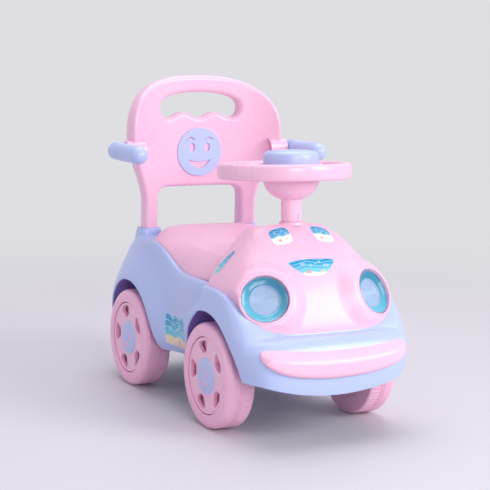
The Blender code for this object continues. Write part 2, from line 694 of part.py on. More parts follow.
def build_body():
    """Shell of one moulding: nose, fenders, arches with wheel wells, bin and backrest sockets."""
    body = show("body_shell", body_volume(0.0, 0.0, 0.0), BLUE_PLASTIC, 30.0)
    hollow = hide(show("body_hollow", body_volume(WALL, POCKET_DEPTH + TOP_WALL, 0.03), DARK))
    wells, arches, hangers, bores = [], [], [], []
    for axle_y, arch in ((FRONT_AXLE_Y, FRONT_ARCH_RADIUS), (REAR_AXLE_Y, REAR_ARCH_RADIUS)):
        for side in (-1, 1):
            at = (axle_y, AXLE_HEIGHT)
            wells.append(rod((side * (WELL_DEPTH_X - WALL), *at), (side * 0.18, *at), arch + WALL, 24))
            arches.append(rod((side * WELL_DEPTH_X, *at), (side * 0.19, *at), arch, 28))
            inner, outer = sorted((side * HANGER_INNER_X, side * WELL_DEPTH_X))
            hangers.append(block((inner, axle_y - HANGER_HALF_Y, AXLE_HEIGHT - HANGER_DROP),
                                 (outer, axle_y + HANGER_HALF_Y, AXLE_HEIGHT + 0.040)))
        bores.append(rod((-0.12, *at), (0.12, *at), (AXLE_RADIUS + SEAT_GAP) / math.cos(math.pi / 12), 12))
    cut(hollow, hide(show("wheel_wells", joined(wells), DARK)))
    bin_low = Vector((-BIN_HALF_WIDTH, BIN_FRONT_Y, BIN_FLOOR_Z))
    bin_high = Vector((BIN_HALF_WIDTH, BIN_BACK_Y, 0.30))
    wall = Vector((WALL, WALL, WALL))
    cut(hollow, hide(show("bin_walls", block(bin_low - wall, bin_high + wall, 0.010), DARK)))
    kept = [socket_core(side) for side in (-1, 1)]
    kept.append(placed(rod((0.0, 0.0, -0.113), (0.0, 0.0, -0.060), BUSH_RADIUS + 0.0035, 16), STEERING))
    cut(hollow, hide(show("inner_bosses", joined(kept), DARK)))
    cut(body, hide(show("socket_towers", joined([socket_tower(-1), socket_tower(1)]), DARK)), "UNION")
    cut(body, hollow)
    # The exact solver leaves open edges where the arches and sockets cross the hollow
    cut(body, hide(show("axle_hangers", joined(hangers), DARK)), "UNION", "MANIFOLD")
    cut(body, hide(show("wheel_arches", joined(arches), DARK)), solver="MANIFOLD")
    cut(body, hide(show("axle_bores", joined(bores), DARK)), solver="MANIFOLD")
    cut(body, hide(show("bin_space", block(bin_low, bin_high, 0.008), DARK)), solver="MANIFOLD")
    hood_pocket = hood_loops(-LEDGE_GAP, 0.0)[1]
    seat_pocket = mirrored(seat_half(-LEDGE_GAP, 0.0, 0.0))
    cut(body, hide(show("hood_pocket", pocket(hood_pocket, 0.08), DARK)), solver="MANIFOLD")
    cut(body, hide(show("seat_pocket", pocket(seat_pocket, 0.08), DARK)), solver="MANIFOLD")
    cut(body, lamp_pods(SEAT_GAP, -POD_RELIEF), solver="MANIFOLD")
    slots = []
    for side in (-1, 1):
        gap = Vector((SEAT_GAP, SEAT_GAP, SEAT_GAP))
        low = Vector((side * SOCKET_X - TONGUE_HALF_X, SOCKET_Y - TONGUE_HALF_Y, SOCKET_TOP_Z - POST_TONGUE))
        high = Vector((side * SOCKET_X + TONGUE_HALF_X, SOCKET_Y + TONGUE_HALF_Y, 0.30))
        slots.append(block(low - gap, high + gap))
    cut(body, hide(show("post_slots", joined(slots), DARK)), solver="MANIFOLD")
    lugs = []
    for side in (-1, 1):
        foot = deck_height(HINGE_Y) - 0.002
        lugs.append(hinge_leaf(side * LUG_X, LUG_HALF, foot, HINGE_PIN_RADIUS + SEAT_GAP))
    cut(body, hide(show("hinge_lugs", joined(lugs), DARK)), "UNION", "MANIFOLD")
    steering_hole = lathe([(0.0, -0.13), (BUSH_HOLE, -0.13), (BUSH_HOLE, -0.05), (0.0, -0.05)], 12, "Z")
    cut(body, hide(show("shaft_hole", placed(steering_hole, STEERING), DARK)), solver="MANIFOLD")
    holes = []
    for x, y in HOOD_SCREWS:
        under = deck_height(y) - TOP_WALL
        wide = SCREW_RADIUS + 0.001
        holes.append(lathe([(0.0, under - 0.02), (wide, under - 0.02), (wide, under + SEAT_GAP),
                            (SCREW_HOLE, under + SEAT_GAP), (SCREW_HOLE, under + 0.02), (0.0, under + 0.02)],
                           8, "Z", (x, y, 0.0)))
    holes += bumper_pegs(PEG_RADIUS + SEAT_GAP)
    cut(body, hide(show("body_screw_holes", joined(holes), DARK)), solver="MANIFOLD")
    return body


def socket_core(side):
    """Solid core under a tower, which stays inside the shell's hollow."""
    low = (side * SOCKET_X - TONGUE_HALF_X - WALL, SOCKET_Y - TONGUE_HALF_Y - WALL,
           SOCKET_TOP_Z - POST_TONGUE - WALL)
    high = (side * SOCKET_X + TONGUE_HALF_X + WALL, SOCKET_Y + TONGUE_HALF_Y + WALL, 0.27)
    return block(low, high)


def hinge_leaf(x, half, foot, bore):
    """Upright lug with a round top and the pin's hole through it."""
    turn = np.linspace(0.0, math.pi, 7)
    outline = [(HINGE_Y + LUG_RADIUS * math.cos(t), HINGE_Z + LUG_RADIUS * math.sin(t)) for t in turn]
    outline += [(HINGE_Y - LUG_RADIUS, foot), (HINGE_Y + LUG_RADIUS, foot)]
    circle = 10
    hole = [(HINGE_Y + bore * math.cos(2 * math.pi * k / circle) / math.cos(math.pi / circle),
             HINGE_Z + bore * math.sin(2 * math.pi * k / circle) / math.cos(math.pi / circle))
            for k in range(circle)]
    flat = plate(outline, [hole], [(0.0, -half), (0.0, half)])
    swap = Matrix(((0, 0, 1, x), (1, 0, 0, 0), (0, 1, 0, 0), (0, 0, 0, 1)))
    return placed(flat, swap)


def plate(outer, holes, profile):
    """Flat plate with holes: (inset, depth) profile steps carried round every outline."""
    bm = bmesh.new()
    first_edges, last_edges = [], []
    for index, outline in enumerate([outer] + list(holes)):
        points = np.asarray(outline, float)
        ahead, behind = np.roll(points, -1, axis=0), np.roll(points, 1, axis=0)
        area = np.sum(points[:, 0] * ahead[:, 1] - ahead[:, 0] * points[:, 1])
        e1, e2 = points - behind, ahead - points
        n1 = np.stack([-e1[:, 1], e1[:, 0]], axis=1) / np.linalg.norm(e1, axis=1)[:, None]
        n2 = np.stack([-e2[:, 1], e2[:, 0]], axis=1) / np.linalg.norm(e2, axis=1)[:, None]
        normal = (n1 + n2) / np.maximum(1.0 + np.sum(n1 * n2, axis=1), 0.4)[:, None]
        inward = normal * (1.0 if area > 0.0 else -1.0) * (1.0 if index == 0 else -1.0)
        rows = []
        for inset, depth in profile:
            moved = points + inward * inset
            rows.append([bm.verts.new((p[0], p[1], depth)) for p in moved])
        count = len(points)
        for low, high in zip(rows, rows[1:]):
            for i in range(count):
                j = (i + 1) % count
                bm.faces.new((low[i], low[j], high[j], high[i]))
        for row, edges in ((rows[0], first_edges), (rows[-1], last_edges)):
            for i in range(count):
                edges.append(bm.edges.get((row[i], row[(i + 1) % count])))
    for edges in (first_edges, last_edges):
        bmesh.ops.triangle_fill(bm, use_beauty=True, use_dissolve=False, edges=edges)
    return mesh_from(bm)


# Bumper

def bumper_pegs(radius):
    """Two pegs that pass through the nose wall behind the bumper."""
    tip = PEG_TIP_INSET - NOSE_REACH
    pegs = []
    for side in (-1, 1):
        pegs.append(rod((side * PEG_X, tip, PEG_Z), (side * PEG_X, tip - PEG_LENGTH, PEG_Z), radius, 10))
    return pegs


def build_bumper():
    """Smile-shaped bar that follows the nose, deeper in the middle and rounded at its ends."""
    fine = np.linspace(-0.5 * math.pi, 0.0, 2001)
    x = body_point(fine, np.full_like(fine, BUMPER_END_Z))[:, 0]
    last = fine[np.searchsorted(x, BUMPER_HALF_WIDTH)]
    steps = 10
    turn = even_turns(steps - 1, BODY_HALF_WIDTH, NOSE_REACH, TAIL_REACH, 0.5, end=last)
    share = np.linspace(0.0, 1.0, steps)
    middle_z = BUMPER_MIDDLE_Z + (BUMPER_END_Z - BUMPER_MIDDLE_Z) * share ** 2.0
    end_round = (1.0 - share ** 8) ** 0.5
    half_height = BUMPER_HALF_HEIGHT + (BUMPER_END_HALF_HEIGHT - BUMPER_HALF_HEIGHT) * share ** 2
    half_height = half_height * np.maximum(end_round, 0.35)
    proud = BUMPER_PROUD * np.maximum(end_round, 0.5)
    around = np.linspace(0.0, 2.0 * math.pi, 10, endpoint=False)
    rows = []
    for angle in around:
        c, s = math.cos(angle), math.sin(angle)
        c = math.copysign(abs(c) ** 0.75, c)
        s = math.copysign(abs(s) ** 0.75, s)
        at = body_point(turn, middle_z + half_height * s)
        ahead = body_point(turn + 1e-3, middle_z + half_height * s)
        along = ahead - at
        normal = np.stack([along[:, 1], -along[:, 0], np.zeros(steps)], axis=1)
        normal /= np.linalg.norm(normal, axis=1)[:, None]
        normal[0] = (0.0, -1.0, 0.0)
        lip = proud * (1.0 - 0.45 * s)
        out = np.where(c > 0.0, lip * c, BUMPER_SINK * c)
        rows.append(at + normal * out[:, None])
    rows = np.stack(rows, axis=1)
    loops = [rows[k] * np.array([-1.0, 1.0, 1.0]) for k in range(steps - 1, 0, -1)]
    loops += [rows[k] for k in range(steps)]
    for loop in loops:
        if abs(loop[:, 0]).max() < 1e-4:
            loop[:, 0] = 0.0
    bumper = show("bumper", loft(loops, caps="flat"), PINK_PLASTIC, 40.0)
    cut(bumper, hide(show("nose_face", body_volume(-2.0 * SEAT_GAP, 0.0, 0.004), DARK)))
    cut(bumper, hide(show("bumper_pegs", joined(bumper_pegs(PEG_RADIUS)), DARK)), "UNION")
    return bumper


# Headlights

def build_lamps():
    """Teal reflector cup and pale domed lens on each side."""
    for side, word in ((1, "left"), (-1, "right")):
        floor = -LAMP_DEPTH
        seat = -LAMP_DEPTH - 0.0015
        radius = LAMP_RADIUS - SEAT_GAP
        cup = lathe([(0.0, floor), (0.012, floor), (0.022, floor + 0.002), (radius - 0.001, -0.0032),
                     (radius, -0.0032), (radius, seat), (0.0, seat)], 20, "Z")
        show(f"headlight_cup_{word}", placed(cup, lamp_frame(side)), TEAL)
        lens = lathe([(0.0, 0.0042), (0.014, 0.0034), (0.026, 0.0010), (radius, -0.0016),
                      (radius, -0.0029), (0.0, -0.0029)], 20, "Z")
        show(f"headlight_lens_{word}", placed(lens, lamp_frame(side)), LENS)


# Seat lid

def build_seat():
    """Hollow lid with a flat top and two ears on the hinge pin."""
    seat = show("seat_lid", loft(seat_loops(0.0, POCKET_DEPTH - SEAT_GAP)), PINK_PLASTIC, 40.0)
    cut(seat, hide(show("seat_hollow", loft(seat_loops(SEAT_WALL, 0.03, 3)), DARK)))
    ears = []
    for side in (-1, 1):
        leaf = hinge_leaf(side * EAR_X, LUG_HALF, 2.0 * HINGE_Z - SEAT_TOP_Z + 0.001,
                          HINGE_PIN_RADIUS + RUNNING)
        flip = Matrix.Translation((0, 0, 2.0 * HINGE_Z)) @ Matrix.Diagonal((1.0, 1.0, -1.0, 1.0))
        leaf.transform(flip)
        leaf.flip_normals()
        ears.append(leaf)
    cut(seat, hide(show("hinge_ears", joined(ears), DARK)), "UNION")
    front = block((-0.2, -0.2, 0.1), (0.2, HINGE_Y - LUG_RADIUS, HINGE_Z))
    skirt = block((-0.2, -0.2, 0.1), (0.2, HINGE_Y + 0.014, deck_height(HINGE_Y) + 0.0035))
    cut(seat, hide(show("front_relief", front, DARK)))
    cut(seat, hide(show("skirt_relief", skirt, DARK)))
    swept = []
    for side in (-1, 1):
        inner, outer = LUG_X - LUG_HALF - LUG_SIDE_GAP, LUG_X + LUG_HALF + LUG_SIDE_GAP
        swept.append(rod((side * inner, HINGE_Y, HINGE_Z), (side * outer, HINGE_Y, HINGE_Z), LUG_SWEEP, 16))
    cut(seat, hide(show("lug_sweeps", joined(swept), DARK)))
    ends = [(side * HINGE_HALF_SPAN, HINGE_Y, HINGE_Z) for side in (-1, 1)]
    pin = rod(ends[0], ends[1], HINGE_PIN_RADIUS, 10)
    show("seat_hinge_pin", pin, STEEL)
    return seat


# Steering

def build_steering():
    """Ring, spokes, bowl and neck in one moulding, on a steel shaft in two bushes."""
    up = HOOD_TOP_Z
    neck_foot = COLLAR_HEIGHT + SEAT_GAP
    bowl = []
    for t in np.linspace(0.0, 1.0, 4):
        angle = 0.5 * math.pi * t
        radius = NECK_RADIUS + (BOWL_RADIUS - NECK_RADIUS) * math.sin(angle) ** 1.1
        height = NECK_TOP_Z + (RING_BOTTOM_Z - NECK_TOP_Z) * (1.0 - math.cos(angle)) ** 0.85
        bowl.append((radius, height - up))
    hub_top = RING_TOP_Z - up - 0.0005
    profile = [(0.0, neck_foot), (NECK_RADIUS, neck_foot)] + bowl
    profile += [(HUB_DISC_RADIUS, RING_BOTTOM_Z - up + 0.004), (HUB_DISC_RADIUS, hub_top), (0.0, hub_top)]
    wheel = show("steering_wheel", placed(lathe(profile, 18, "Z"), STEERING), PINK_PLASTIC, 40.0)
    low, high = RING_BOTTOM_Z - up, RING_TOP_Z - up
    inner, outer, bend = RING_RADIUS - RING_WIDTH, RING_RADIUS, 0.005
    section = []
    for cx, cz, start in ((outer - bend, high - bend, 0.0), (inner + bend, high - bend, 90.0),
                          (inner + bend, low + bend, 180.0), (outer - bend, low + bend, 270.0)):
        for step in (0.0, 90.0):
            angle = math.radians(start + step)
            section.append((cx + bend * math.cos(angle), cz + bend * math.sin(angle)))
    ring = lathe(section, 28, "Z", (0.0, RING_OFFSET, 0.0))
    cut(wheel, hide(show("ring", placed(ring, STEERING), DARK)), "UNION")
    reach = RING_RADIUS - 0.5 * RING_WIDTH
    spoke_low, spoke_high = low + 0.005, high - 0.004
    spokes = block((-reach + 0.003, -SPOKE_HALF, spoke_low), (reach - 0.003, SPOKE_HALF, spoke_high), 0.003)
    stem = block((-SPOKE_HALF, RING_OFFSET - reach, spoke_low + 0.0004),
                 (SPOKE_HALF, RING_OFFSET + reach, spoke_high - 0.0004), 0.003)
    cut(wheel, hide(show("spokes", placed(spokes, STEERING), DARK)), "UNION")
    cut(wheel, hide(show("stem", placed(stem, STEERING), DARK)), "UNION")
    well = RING_TOP_Z - up - HORN_WELL_DEPTH
    hole = (SHAFT_RADIUS + SEAT_GAP) / math.cos(math.pi / 20)
    space = lathe([(0.0, -0.01), (hole, -0.01), (hole, SHAFT_TOP), (SPRING_POCKET_RADIUS, SHAFT_TOP),
                   (SPRING_POCKET_RADIUS, well), (HORN_RADIUS + 0.0006, well), (HORN_RADIUS + 0.0006, 0.2),
                   (0.0, 0.2)], 20, "Z")
    cut(wheel, hide(show("hub_space", placed(space, STEERING), DARK)))
    foot = SHAFT_FOOT_Z - up
    head = SHAFT_TOP - 0.001
    shaft = lathe([(0.0, foot), (SHAFT_RADIUS, foot), (SHAFT_RADIUS, head), (0.0, head)], 16, "Z")
    show("steering_shaft", placed(shaft, STEERING), STEEL)
    bore = (SHAFT_RADIUS + RUNNING) / math.cos(math.pi / 12)
    lower = -LOWER_BUSH_DROP
    for name, low, high in (("upper_bush", -0.010, COLLAR_HEIGHT),
                            ("lower_bush", lower, lower + LOWER_BUSH_LENGTH)):
        ring = lathe([(bore, low), (BUSH_RADIUS, low), (BUSH_RADIUS, high), (bore, high)], 12, "Z")
        show(name, placed(ring, STEERING), DARK)
    clip_low = lower - SEAT_GAP - CLIP_THICKNESS
    clip_hole = (SHAFT_RADIUS + 0.0001) / math.cos(math.pi / 12)
    clip_top = clip_low + CLIP_THICKNESS
    clip = lathe([(clip_hole, clip_low), (BUSH_RADIUS, clip_low), (BUSH_RADIUS, clip_top),
                  (clip_hole, clip_top)], 12, "Z")
    show("shaft_clip", placed(clip, STEERING), STEEL)
    top = HORN_TOP_Z - up
    skirt = well + HORN_TRAVEL + 0.0005
    pad = [(0.0, top), (0.024, top - 0.0006), (HORN_RADIUS - 0.006, top - 0.002),
           (HORN_RADIUS - 0.0018, top - 0.0055), (HORN_RADIUS, top - 0.011), (HORN_RADIUS, skirt),
           (HORN_RADIUS - 0.003, skirt),
           (HORN_RADIUS - 0.004, top - 0.008), (0.006, top - 0.004), (0.006, top - 0.008), (0.0, top - 0.008)]
    show("horn_pad", placed(lathe(pad, 18, "Z"), STEERING), BLUE_PLASTIC)
    build_spring(SHAFT_TOP + SEAT_GAP, top - 0.0055)


def build_spring(low, high):
    """Coil spring under the horn pad, wound round its spigot: a four-sided wire along a helix."""
    turns, steps = 3.5, 8
    count = int(turns * steps) + 1
    loops = []
    for k in range(count):
        angle = 2.0 * math.pi * k / steps
        height = low + SPRING_WIRE + (high - low - 2.0 * SPRING_WIRE) * k / (count - 1)
        loop = []
        for corner in (0.0, 0.5 * math.pi, math.pi, 1.5 * math.pi):
            radius = SPRING_RADIUS + SPRING_WIRE * math.cos(corner)
            loop.append((radius * math.cos(angle), radius * math.sin(angle),
                         height + SPRING_WIRE * math.sin(corner)))
        loops.append(loop)
    show("horn_spring", placed(loft(loops, caps="flat"), STEERING), STEEL)


# Backrest

def backrest_outline():
    """Half outline from the post foot up the side and over the top, then its mirror image."""
    foot = SOCKET_TOP_Z - BACK_EDGE
    right = [(POST_OUTER_X, foot)]
    for z in np.linspace(0.290, 0.385, 5):
        swell = float(smooth((z - 0.290) / 0.110))
        right.append((POST_OUTER_X + (BACK_HALF_WIDTH - POST_OUTER_X) * swell, z))
    for angle in np.linspace(0.0, 0.5 * math.pi, 9):
        right.append((BACK_HALF_WIDTH * math.cos(angle) ** (2.0 / 2.6),
                      0.400 + (BACK_TOP_Z - 0.400) * math.sin(angle) ** (2.0 / 2.6)))
    left = [(-x, z) for x, z in reversed(right[:-1])]
    inside = [(-POST_INNER_X, foot)]
    for angle in np.linspace(math.pi, 0.5 * math.pi, 4):
        inside.append((-POST_INNER_X + GAP_CORNER + GAP_CORNER * math.cos(angle),
                       LOWER_GAP_TOP_Z - GAP_CORNER + GAP_CORNER * math.sin(angle)))
    inside += [(-0.03, LOWER_GAP_TOP_Z), (0.0, LOWER_GAP_TOP_Z)]
    inside += [(-x, z) for x, z in reversed(inside[:-1])]
    return right + left + inside


def hand_hole():
    """Arched top and a wavy lower edge for the fingers."""
    top = [(HAND_HALF_WIDTH * math.cos(t), HAND_END_Z + (HAND_TOP_Z - HAND_END_Z) * math.sin(t) ** 0.8)
           for t in np.linspace(0.0, math.pi, 9)]
    reach = HAND_HALF_WIDTH - HAND_CORNER
    depth = HAND_END_Z - (HAND_WAVE_Z - HAND_WAVE)
    left = [(-reach - HAND_CORNER * math.cos(t), HAND_END_Z - depth * math.sin(t))
            for t in np.linspace(0.0, 0.5 * math.pi, 4)[1:]]
    wave = [(x, HAND_WAVE_Z - HAND_WAVE * math.cos(2.0 * math.pi * x / reach))
            for x in np.linspace(-reach, reach, 11)[1:-1]]
    right = [(-x, z) for x, z in reversed(left)]
    return top + left + wave + right


def build_backrest():
    """Curved back with a hand hole and two posts, its edges well rounded."""
    edge = BACK_EDGE
    steps = []
    for t in np.linspace(0.0, 0.5 * math.pi, 3):
        steps.append((edge * (1.0 - math.sin(t)), edge * (1.0 - math.cos(t))))
    depth = BACK_THICKNESS
    profile = steps + [(inset, depth - y) for inset, y in reversed(steps)]
    flat = plate(backrest_outline(), [hand_hole()], profile)
    bm = bmesh.new()
    bm.from_mesh(flat)
    for x in np.linspace(-0.09, 0.09, 5):
        bmesh.ops.bisect_plane(bm, geom=bm.verts[:] + bm.edges[:] + bm.faces[:], dist=1e-6,
                               plane_co=(x, 0.0, 0.0), plane_no=(1.0, 0.0, 0.0))
    for vert in bm.verts:
        x, z, deep = vert.co
        front = float(back_front(x))
        vert.co = (x, front + deep / BACK_THICKNESS * float(back_depth(x)), z)
    backrest = show("backrest", mesh_from(bm), PINK_PLASTIC, 50.0)
    below = block((-0.2, 0.0, 0.1), (0.2, 0.4, SOCKET_TOP_Z + SEAT_GAP))
    cut(backrest, hide(show("post_feet", below, DARK)))
    bosses, tongues, bores = [], [], []
    for side in (-1, 1):
        bar_face = side * (HANDLE_X - HANDLE_RADIUS - SEAT_GAP)
        bosses.append(rod((side * (STUB_END_X - 0.017), HANDLE_STUB_Y, HANDLE_Z),
                          (bar_face, HANDLE_STUB_Y, HANDLE_Z), LUG_BOSS, 16))
        bores.append(rod((side * STUB_END_X, HANDLE_STUB_Y, HANDLE_Z),
                         (side * 0.17, HANDLE_STUB_Y, HANDLE_Z), HANDLE_STUB_RADIUS + 2.0 * SEAT_GAP, 12))
        low = (side * SOCKET_X - TONGUE_HALF_X, SOCKET_Y - TONGUE_HALF_Y,
               SOCKET_TOP_Z - POST_TONGUE + SEAT_GAP)
        high = (side * SOCKET_X + TONGUE_HALF_X, SOCKET_Y + TONGUE_HALF_Y, SOCKET_TOP_Z + 0.01)
        tongues.append(block(low, high))
    cut(backrest, hide(show("handle_bosses", joined(bosses), DARK)), "UNION")
    cut(backrest, hide(show("post_tongues", joined(tongues), DARK)), "UNION")
    cut(backrest, hide(show("handle_bores", joined(bores), DARK)))
    seat_y = BACK_FRONT_Y + 0.0015
    recess = rod((0.0, BACK_FRONT_Y - 0.02, BADGE_Z), (0.0, seat_y, BADGE_Z), BADGE_RADIUS + SEAT_GAP, 32)
    cut(backrest, hide(show("badge_recess", recess, DARK)))
    return backrest


def ellipse(centre_x, centre_z, half_x, half_z, count):
    """Closed ellipse outline."""
    turn = np.linspace(0.0, 2.0 * math.pi, count, endpoint=False)
    return [(centre_x + half_x * math.cos(t), centre_z + half_z * math.sin(t)) for t in turn]


def crescent(centre_x, centre_z, half_width, depth, thick, count=7):
    """Closed crescent that bends down by depth (up where depth is negative)."""
    share = np.linspace(-1.0, 1.0, count)
    low = [(centre_x + half_width * s, centre_z - depth * (1.0 - s * s)) for s in share]
    inner = share[::-1][1:-1]
    high = [(centre_x + half_width * s, centre_z - (depth - thick) * (1.0 - s * s)) for s in inner]
    return low + high


def face_plate(radius, depth, segments, parts):
    """Round plate with a simple smiling face cut through it, from shares of its radius."""
    scale = radius
    holes = []
    for side in (-1, 1):
        holes.append(ellipse(side * 0.36 * scale, 0.17 * scale, 0.13 * scale, 0.18 * scale, parts))
    holes.append(crescent(0.0, -0.34 * scale, 0.50 * scale, 0.34 * scale, 0.26 * scale))
    for side in (-1, 1):
        holes.append(crescent(side * 0.40 * scale, 0.46 * scale, 0.19 * scale,
                              -0.13 * scale, -0.06 * scale, 5))
    outer = ellipse(0.0, 0.0, radius, radius, segments)
    return plate(outer, holes, [(0.0, 0.0), (0.0, depth)])


def build_badge():
    """Blue face disc let into the front of the backrest."""
    badge = face_plate(BADGE_RADIUS, BADGE_DEPTH, 32, 10)
    stand = Matrix.Translation((0.0, BACK_FRONT_Y + 0.0015 - SEAT_GAP - BADGE_DEPTH, BADGE_Z))
    swap = Matrix(((1, 0, 0, 0), (0, 0, 1, 0), (0, 1, 0, 0), (0, 0, 0, 1)))
    badge.transform(stand @ swap)
    badge.flip_normals()
    show("face_badge", badge, BLUE_PLASTIC)


def build_handles():
    """Two grooved bars, each on a stub that enters the boss of a wing."""
    for side, word in ((1, "left"), (-1, "right")):
        r = HANDLE_RADIUS
        front, back = HANDLE_FRONT_Y, HANDLE_BACK_Y
        profile = [(0.0, front)]
        profile += [(r * math.sin(t), front + r * (1.0 - math.cos(t))) for t in np.radians([30, 60, 90])]
        grooves = 3
        start, pitch = front + 0.048, 0.012
        for k in range(grooves):
            y = start + k * pitch
            profile += [(r, y - 0.0022), (r - 0.0012, y), (r, y + 0.0022)]
        profile += [(r * math.sin(t), back - r * (1.0 - math.cos(t))) for t in np.radians([90, 60, 30])]
        profile += [(0.0, back)]
        bar = lathe([(radius, along) for radius, along in profile], 12, "Y", (side * HANDLE_X, 0.0, HANDLE_Z))
        handle = show(f"handle_{word}", bar, BLUE_PLASTIC)
        stub = rod((side * (STUB_END_X + SEAT_GAP), HANDLE_STUB_Y, HANDLE_Z),
                   (side * HANDLE_X, HANDLE_STUB_Y, HANDLE_Z), HANDLE_STUB_RADIUS, 12)
        cut(handle, hide(show(f"stub_{word}", stub, DARK)), "UNION")


# Wheels

def rim_windows(side, axle_y):
    """Five rounded windows round the rim."""
    tools = []
    for k in range(RIM_WINDOWS):
        middle = 2.0 * math.pi * (k / RIM_WINDOWS) + math.radians(2.0)
        half = math.radians(20.0)
        outline = []
        for radius, start, end in ((WINDOW_OUTER, -half, half), (WINDOW_INNER, 0.62 * half, -0.62 * half)):
            for share in np.linspace(0.0, 1.0, 3):
                t = middle + start + (end - start) * share
                outline.append((axle_y + radius * math.cos(t), AXLE_HEIGHT + radius * math.sin(t)))
        tool = plate(outline, [], [(0.0, -0.02), (0.0, 0.02)])
        swap = Matrix(((0, 0, 1, side * WHEEL_FACE_X), (1, 0, 0, 0), (0, 1, 0, 0), (0, 0, 0, 1)))
        tools.append(placed(tool, swap))
    return joined(tools)


def build_wheels():
    """Tyre drum, pressed-in rim with windows, and a face cap over the axle end, four times."""
    bore = (AXLE_RADIUS + RUNNING) / math.cos(math.pi / RIM_SIDES)
    face = WHEEL_FACE_X
    back = face - WHEEL_WIDTH
    seat = (RIM_RADIUS + SEAT_GAP) / math.cos(math.pi / TYRE_SIDES)
    r = WHEEL_RADIUS
    tyre_profile = [(0.0145, back), (0.068, back), (r, back + 0.006), (r, face - 0.013),
                    (r - 0.0035, face - 0.0045), (r - 0.0105, face), (seat, face - 0.001),
                    (seat, back + 0.003), (0.0145, back + 0.003)]
    lip = face - 0.0025
    cap_seat = lip - 0.0055
    cap_hole = HUB_CAP_RADIUS + SEAT_GAP
    rim_profile = [(bore, cap_seat), (cap_hole, cap_seat), (cap_hole, lip), (RIM_RADIUS, lip),
                   (RIM_RADIUS, face - RIM_DEPTH), (RIM_RADIUS - 0.0025, face - RIM_DEPTH),
                   (RIM_RADIUS - 0.0025, lip - 0.0065), (0.011, lip - 0.0095), (0.011, back - 0.0005),
                   (bore, back - 0.0005)]
    cap_low = cap_seat + SEAT_GAP
    for end, axle_y in (("front", FRONT_AXLE_Y), ("rear", REAR_AXLE_Y)):
        for side, word in ((1, "left"), (-1, "right")):
            def turned(profile, segments):
                points = [(radius, side * along) for radius, along in profile]
                return lathe(points, segments, "X", (0.0, axle_y, AXLE_HEIGHT))
            show(f"tyre_{end}_{word}", turned(tyre_profile, TYRE_SIDES), PINK_PLASTIC)
            rim = show(f"rim_{end}_{word}", turned(rim_profile, RIM_SIDES), PINK_PLASTIC)
            cut(rim, hide(show(f"windows_{end}_{word}", rim_windows(side, axle_y), DARK)))
            cap = lathe([(0.0, side * (cap_low + 0.0034)), (0.010, side * (cap_low + 0.0034)),
                         (0.010, side * cap_low), (HUB_CAP_RADIUS, side * cap_low),
                         (HUB_CAP_RADIUS, side * (cap_low + 0.0038)),
                         (HUB_CAP_RADIUS - 0.001, side * (cap_low + HUB_CAP_DEPTH)),
                         (0.0, side * (cap_low + HUB_CAP_DEPTH))], 16, "X", (0.0, axle_y, AXLE_HEIGHT))
            show(f"hub_cap_{end}_{word}", cap, BLUE_PLASTIC)
            nut_low = cap_seat + SEAT_GAP
            grip = (AXLE_RADIUS + SEAT_GAP) / math.cos(math.pi / 8)
            nut = turned([(grip, nut_low), (0.0075, nut_low), (0.0075, nut_low + 0.0016),
                          (grip, nut_low + 0.0016)], 8)
            show(f"axle_nut_{end}_{word}", nut, STEEL)
            start, stop = WELL_DEPTH_X + SEAT_GAP, back - 0.0005 - SEAT_GAP
            spacer = turned([(grip, start), (SPACER_RADIUS, start), (SPACER_RADIUS, stop), (grip, stop)], 8)
            show(f"spacer_{end}_{word}", spacer, DARK)
        reach = cap_seat + 0.0024
        axle = rod((-reach, axle_y, AXLE_HEIGHT), (reach, axle_y, AXLE_HEIGHT), AXLE_RADIUS, 16)
        show(f"{end}_axle", axle, STEEL)


def build_screws():
    """Screws that hold the hood from below and the backrest tongues from behind."""
    for x, y in HOOD_SCREWS:
        deck = deck_height(y)
        under = deck - TOP_WALL
        screw = lathe([(0.0, deck + 0.010), (SCREW_SHANK, deck + 0.010), (SCREW_SHANK, under),
                       (SCREW_RADIUS, under), (SCREW_RADIUS, under - 0.0018), (0.0, under - 0.0018)],
                      8, "Z", (x, y, 0.0))
        place = ("front" if y < -0.16 else "rear") + ("_left" if x > 0.0 else "_right")
        show(f"hood_screw_{place}", screw, STEEL)


build_body()
build_hood()
build_bumper()
build_lamps()
build_seat()
build_steering()
build_backrest()
build_badge()
build_handles()
build_wheels()
build_screws()
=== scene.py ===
import math

import bmesh
import bpy
import numpy as np
from mathutils import Matrix, Vector
from mathutils.bvhtree import BVHTree


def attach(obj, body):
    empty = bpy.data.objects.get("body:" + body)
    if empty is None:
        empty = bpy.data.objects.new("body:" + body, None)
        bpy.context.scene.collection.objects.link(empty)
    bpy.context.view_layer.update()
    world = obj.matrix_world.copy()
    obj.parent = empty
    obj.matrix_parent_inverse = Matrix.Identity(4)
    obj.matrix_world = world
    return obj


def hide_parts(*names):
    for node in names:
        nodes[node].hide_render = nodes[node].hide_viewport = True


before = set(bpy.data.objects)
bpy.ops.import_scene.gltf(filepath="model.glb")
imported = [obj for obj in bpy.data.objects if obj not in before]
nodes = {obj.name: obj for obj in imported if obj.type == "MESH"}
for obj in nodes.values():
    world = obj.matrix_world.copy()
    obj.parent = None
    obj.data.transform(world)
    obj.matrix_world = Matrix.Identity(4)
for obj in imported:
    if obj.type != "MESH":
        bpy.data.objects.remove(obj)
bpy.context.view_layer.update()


# The view, the light and the floor.
# The camera stands in front and to the right of the car at the height of its back, with a long
# lens; a large soft lamp hangs in front on the right, and the floor fades into the pale studio.

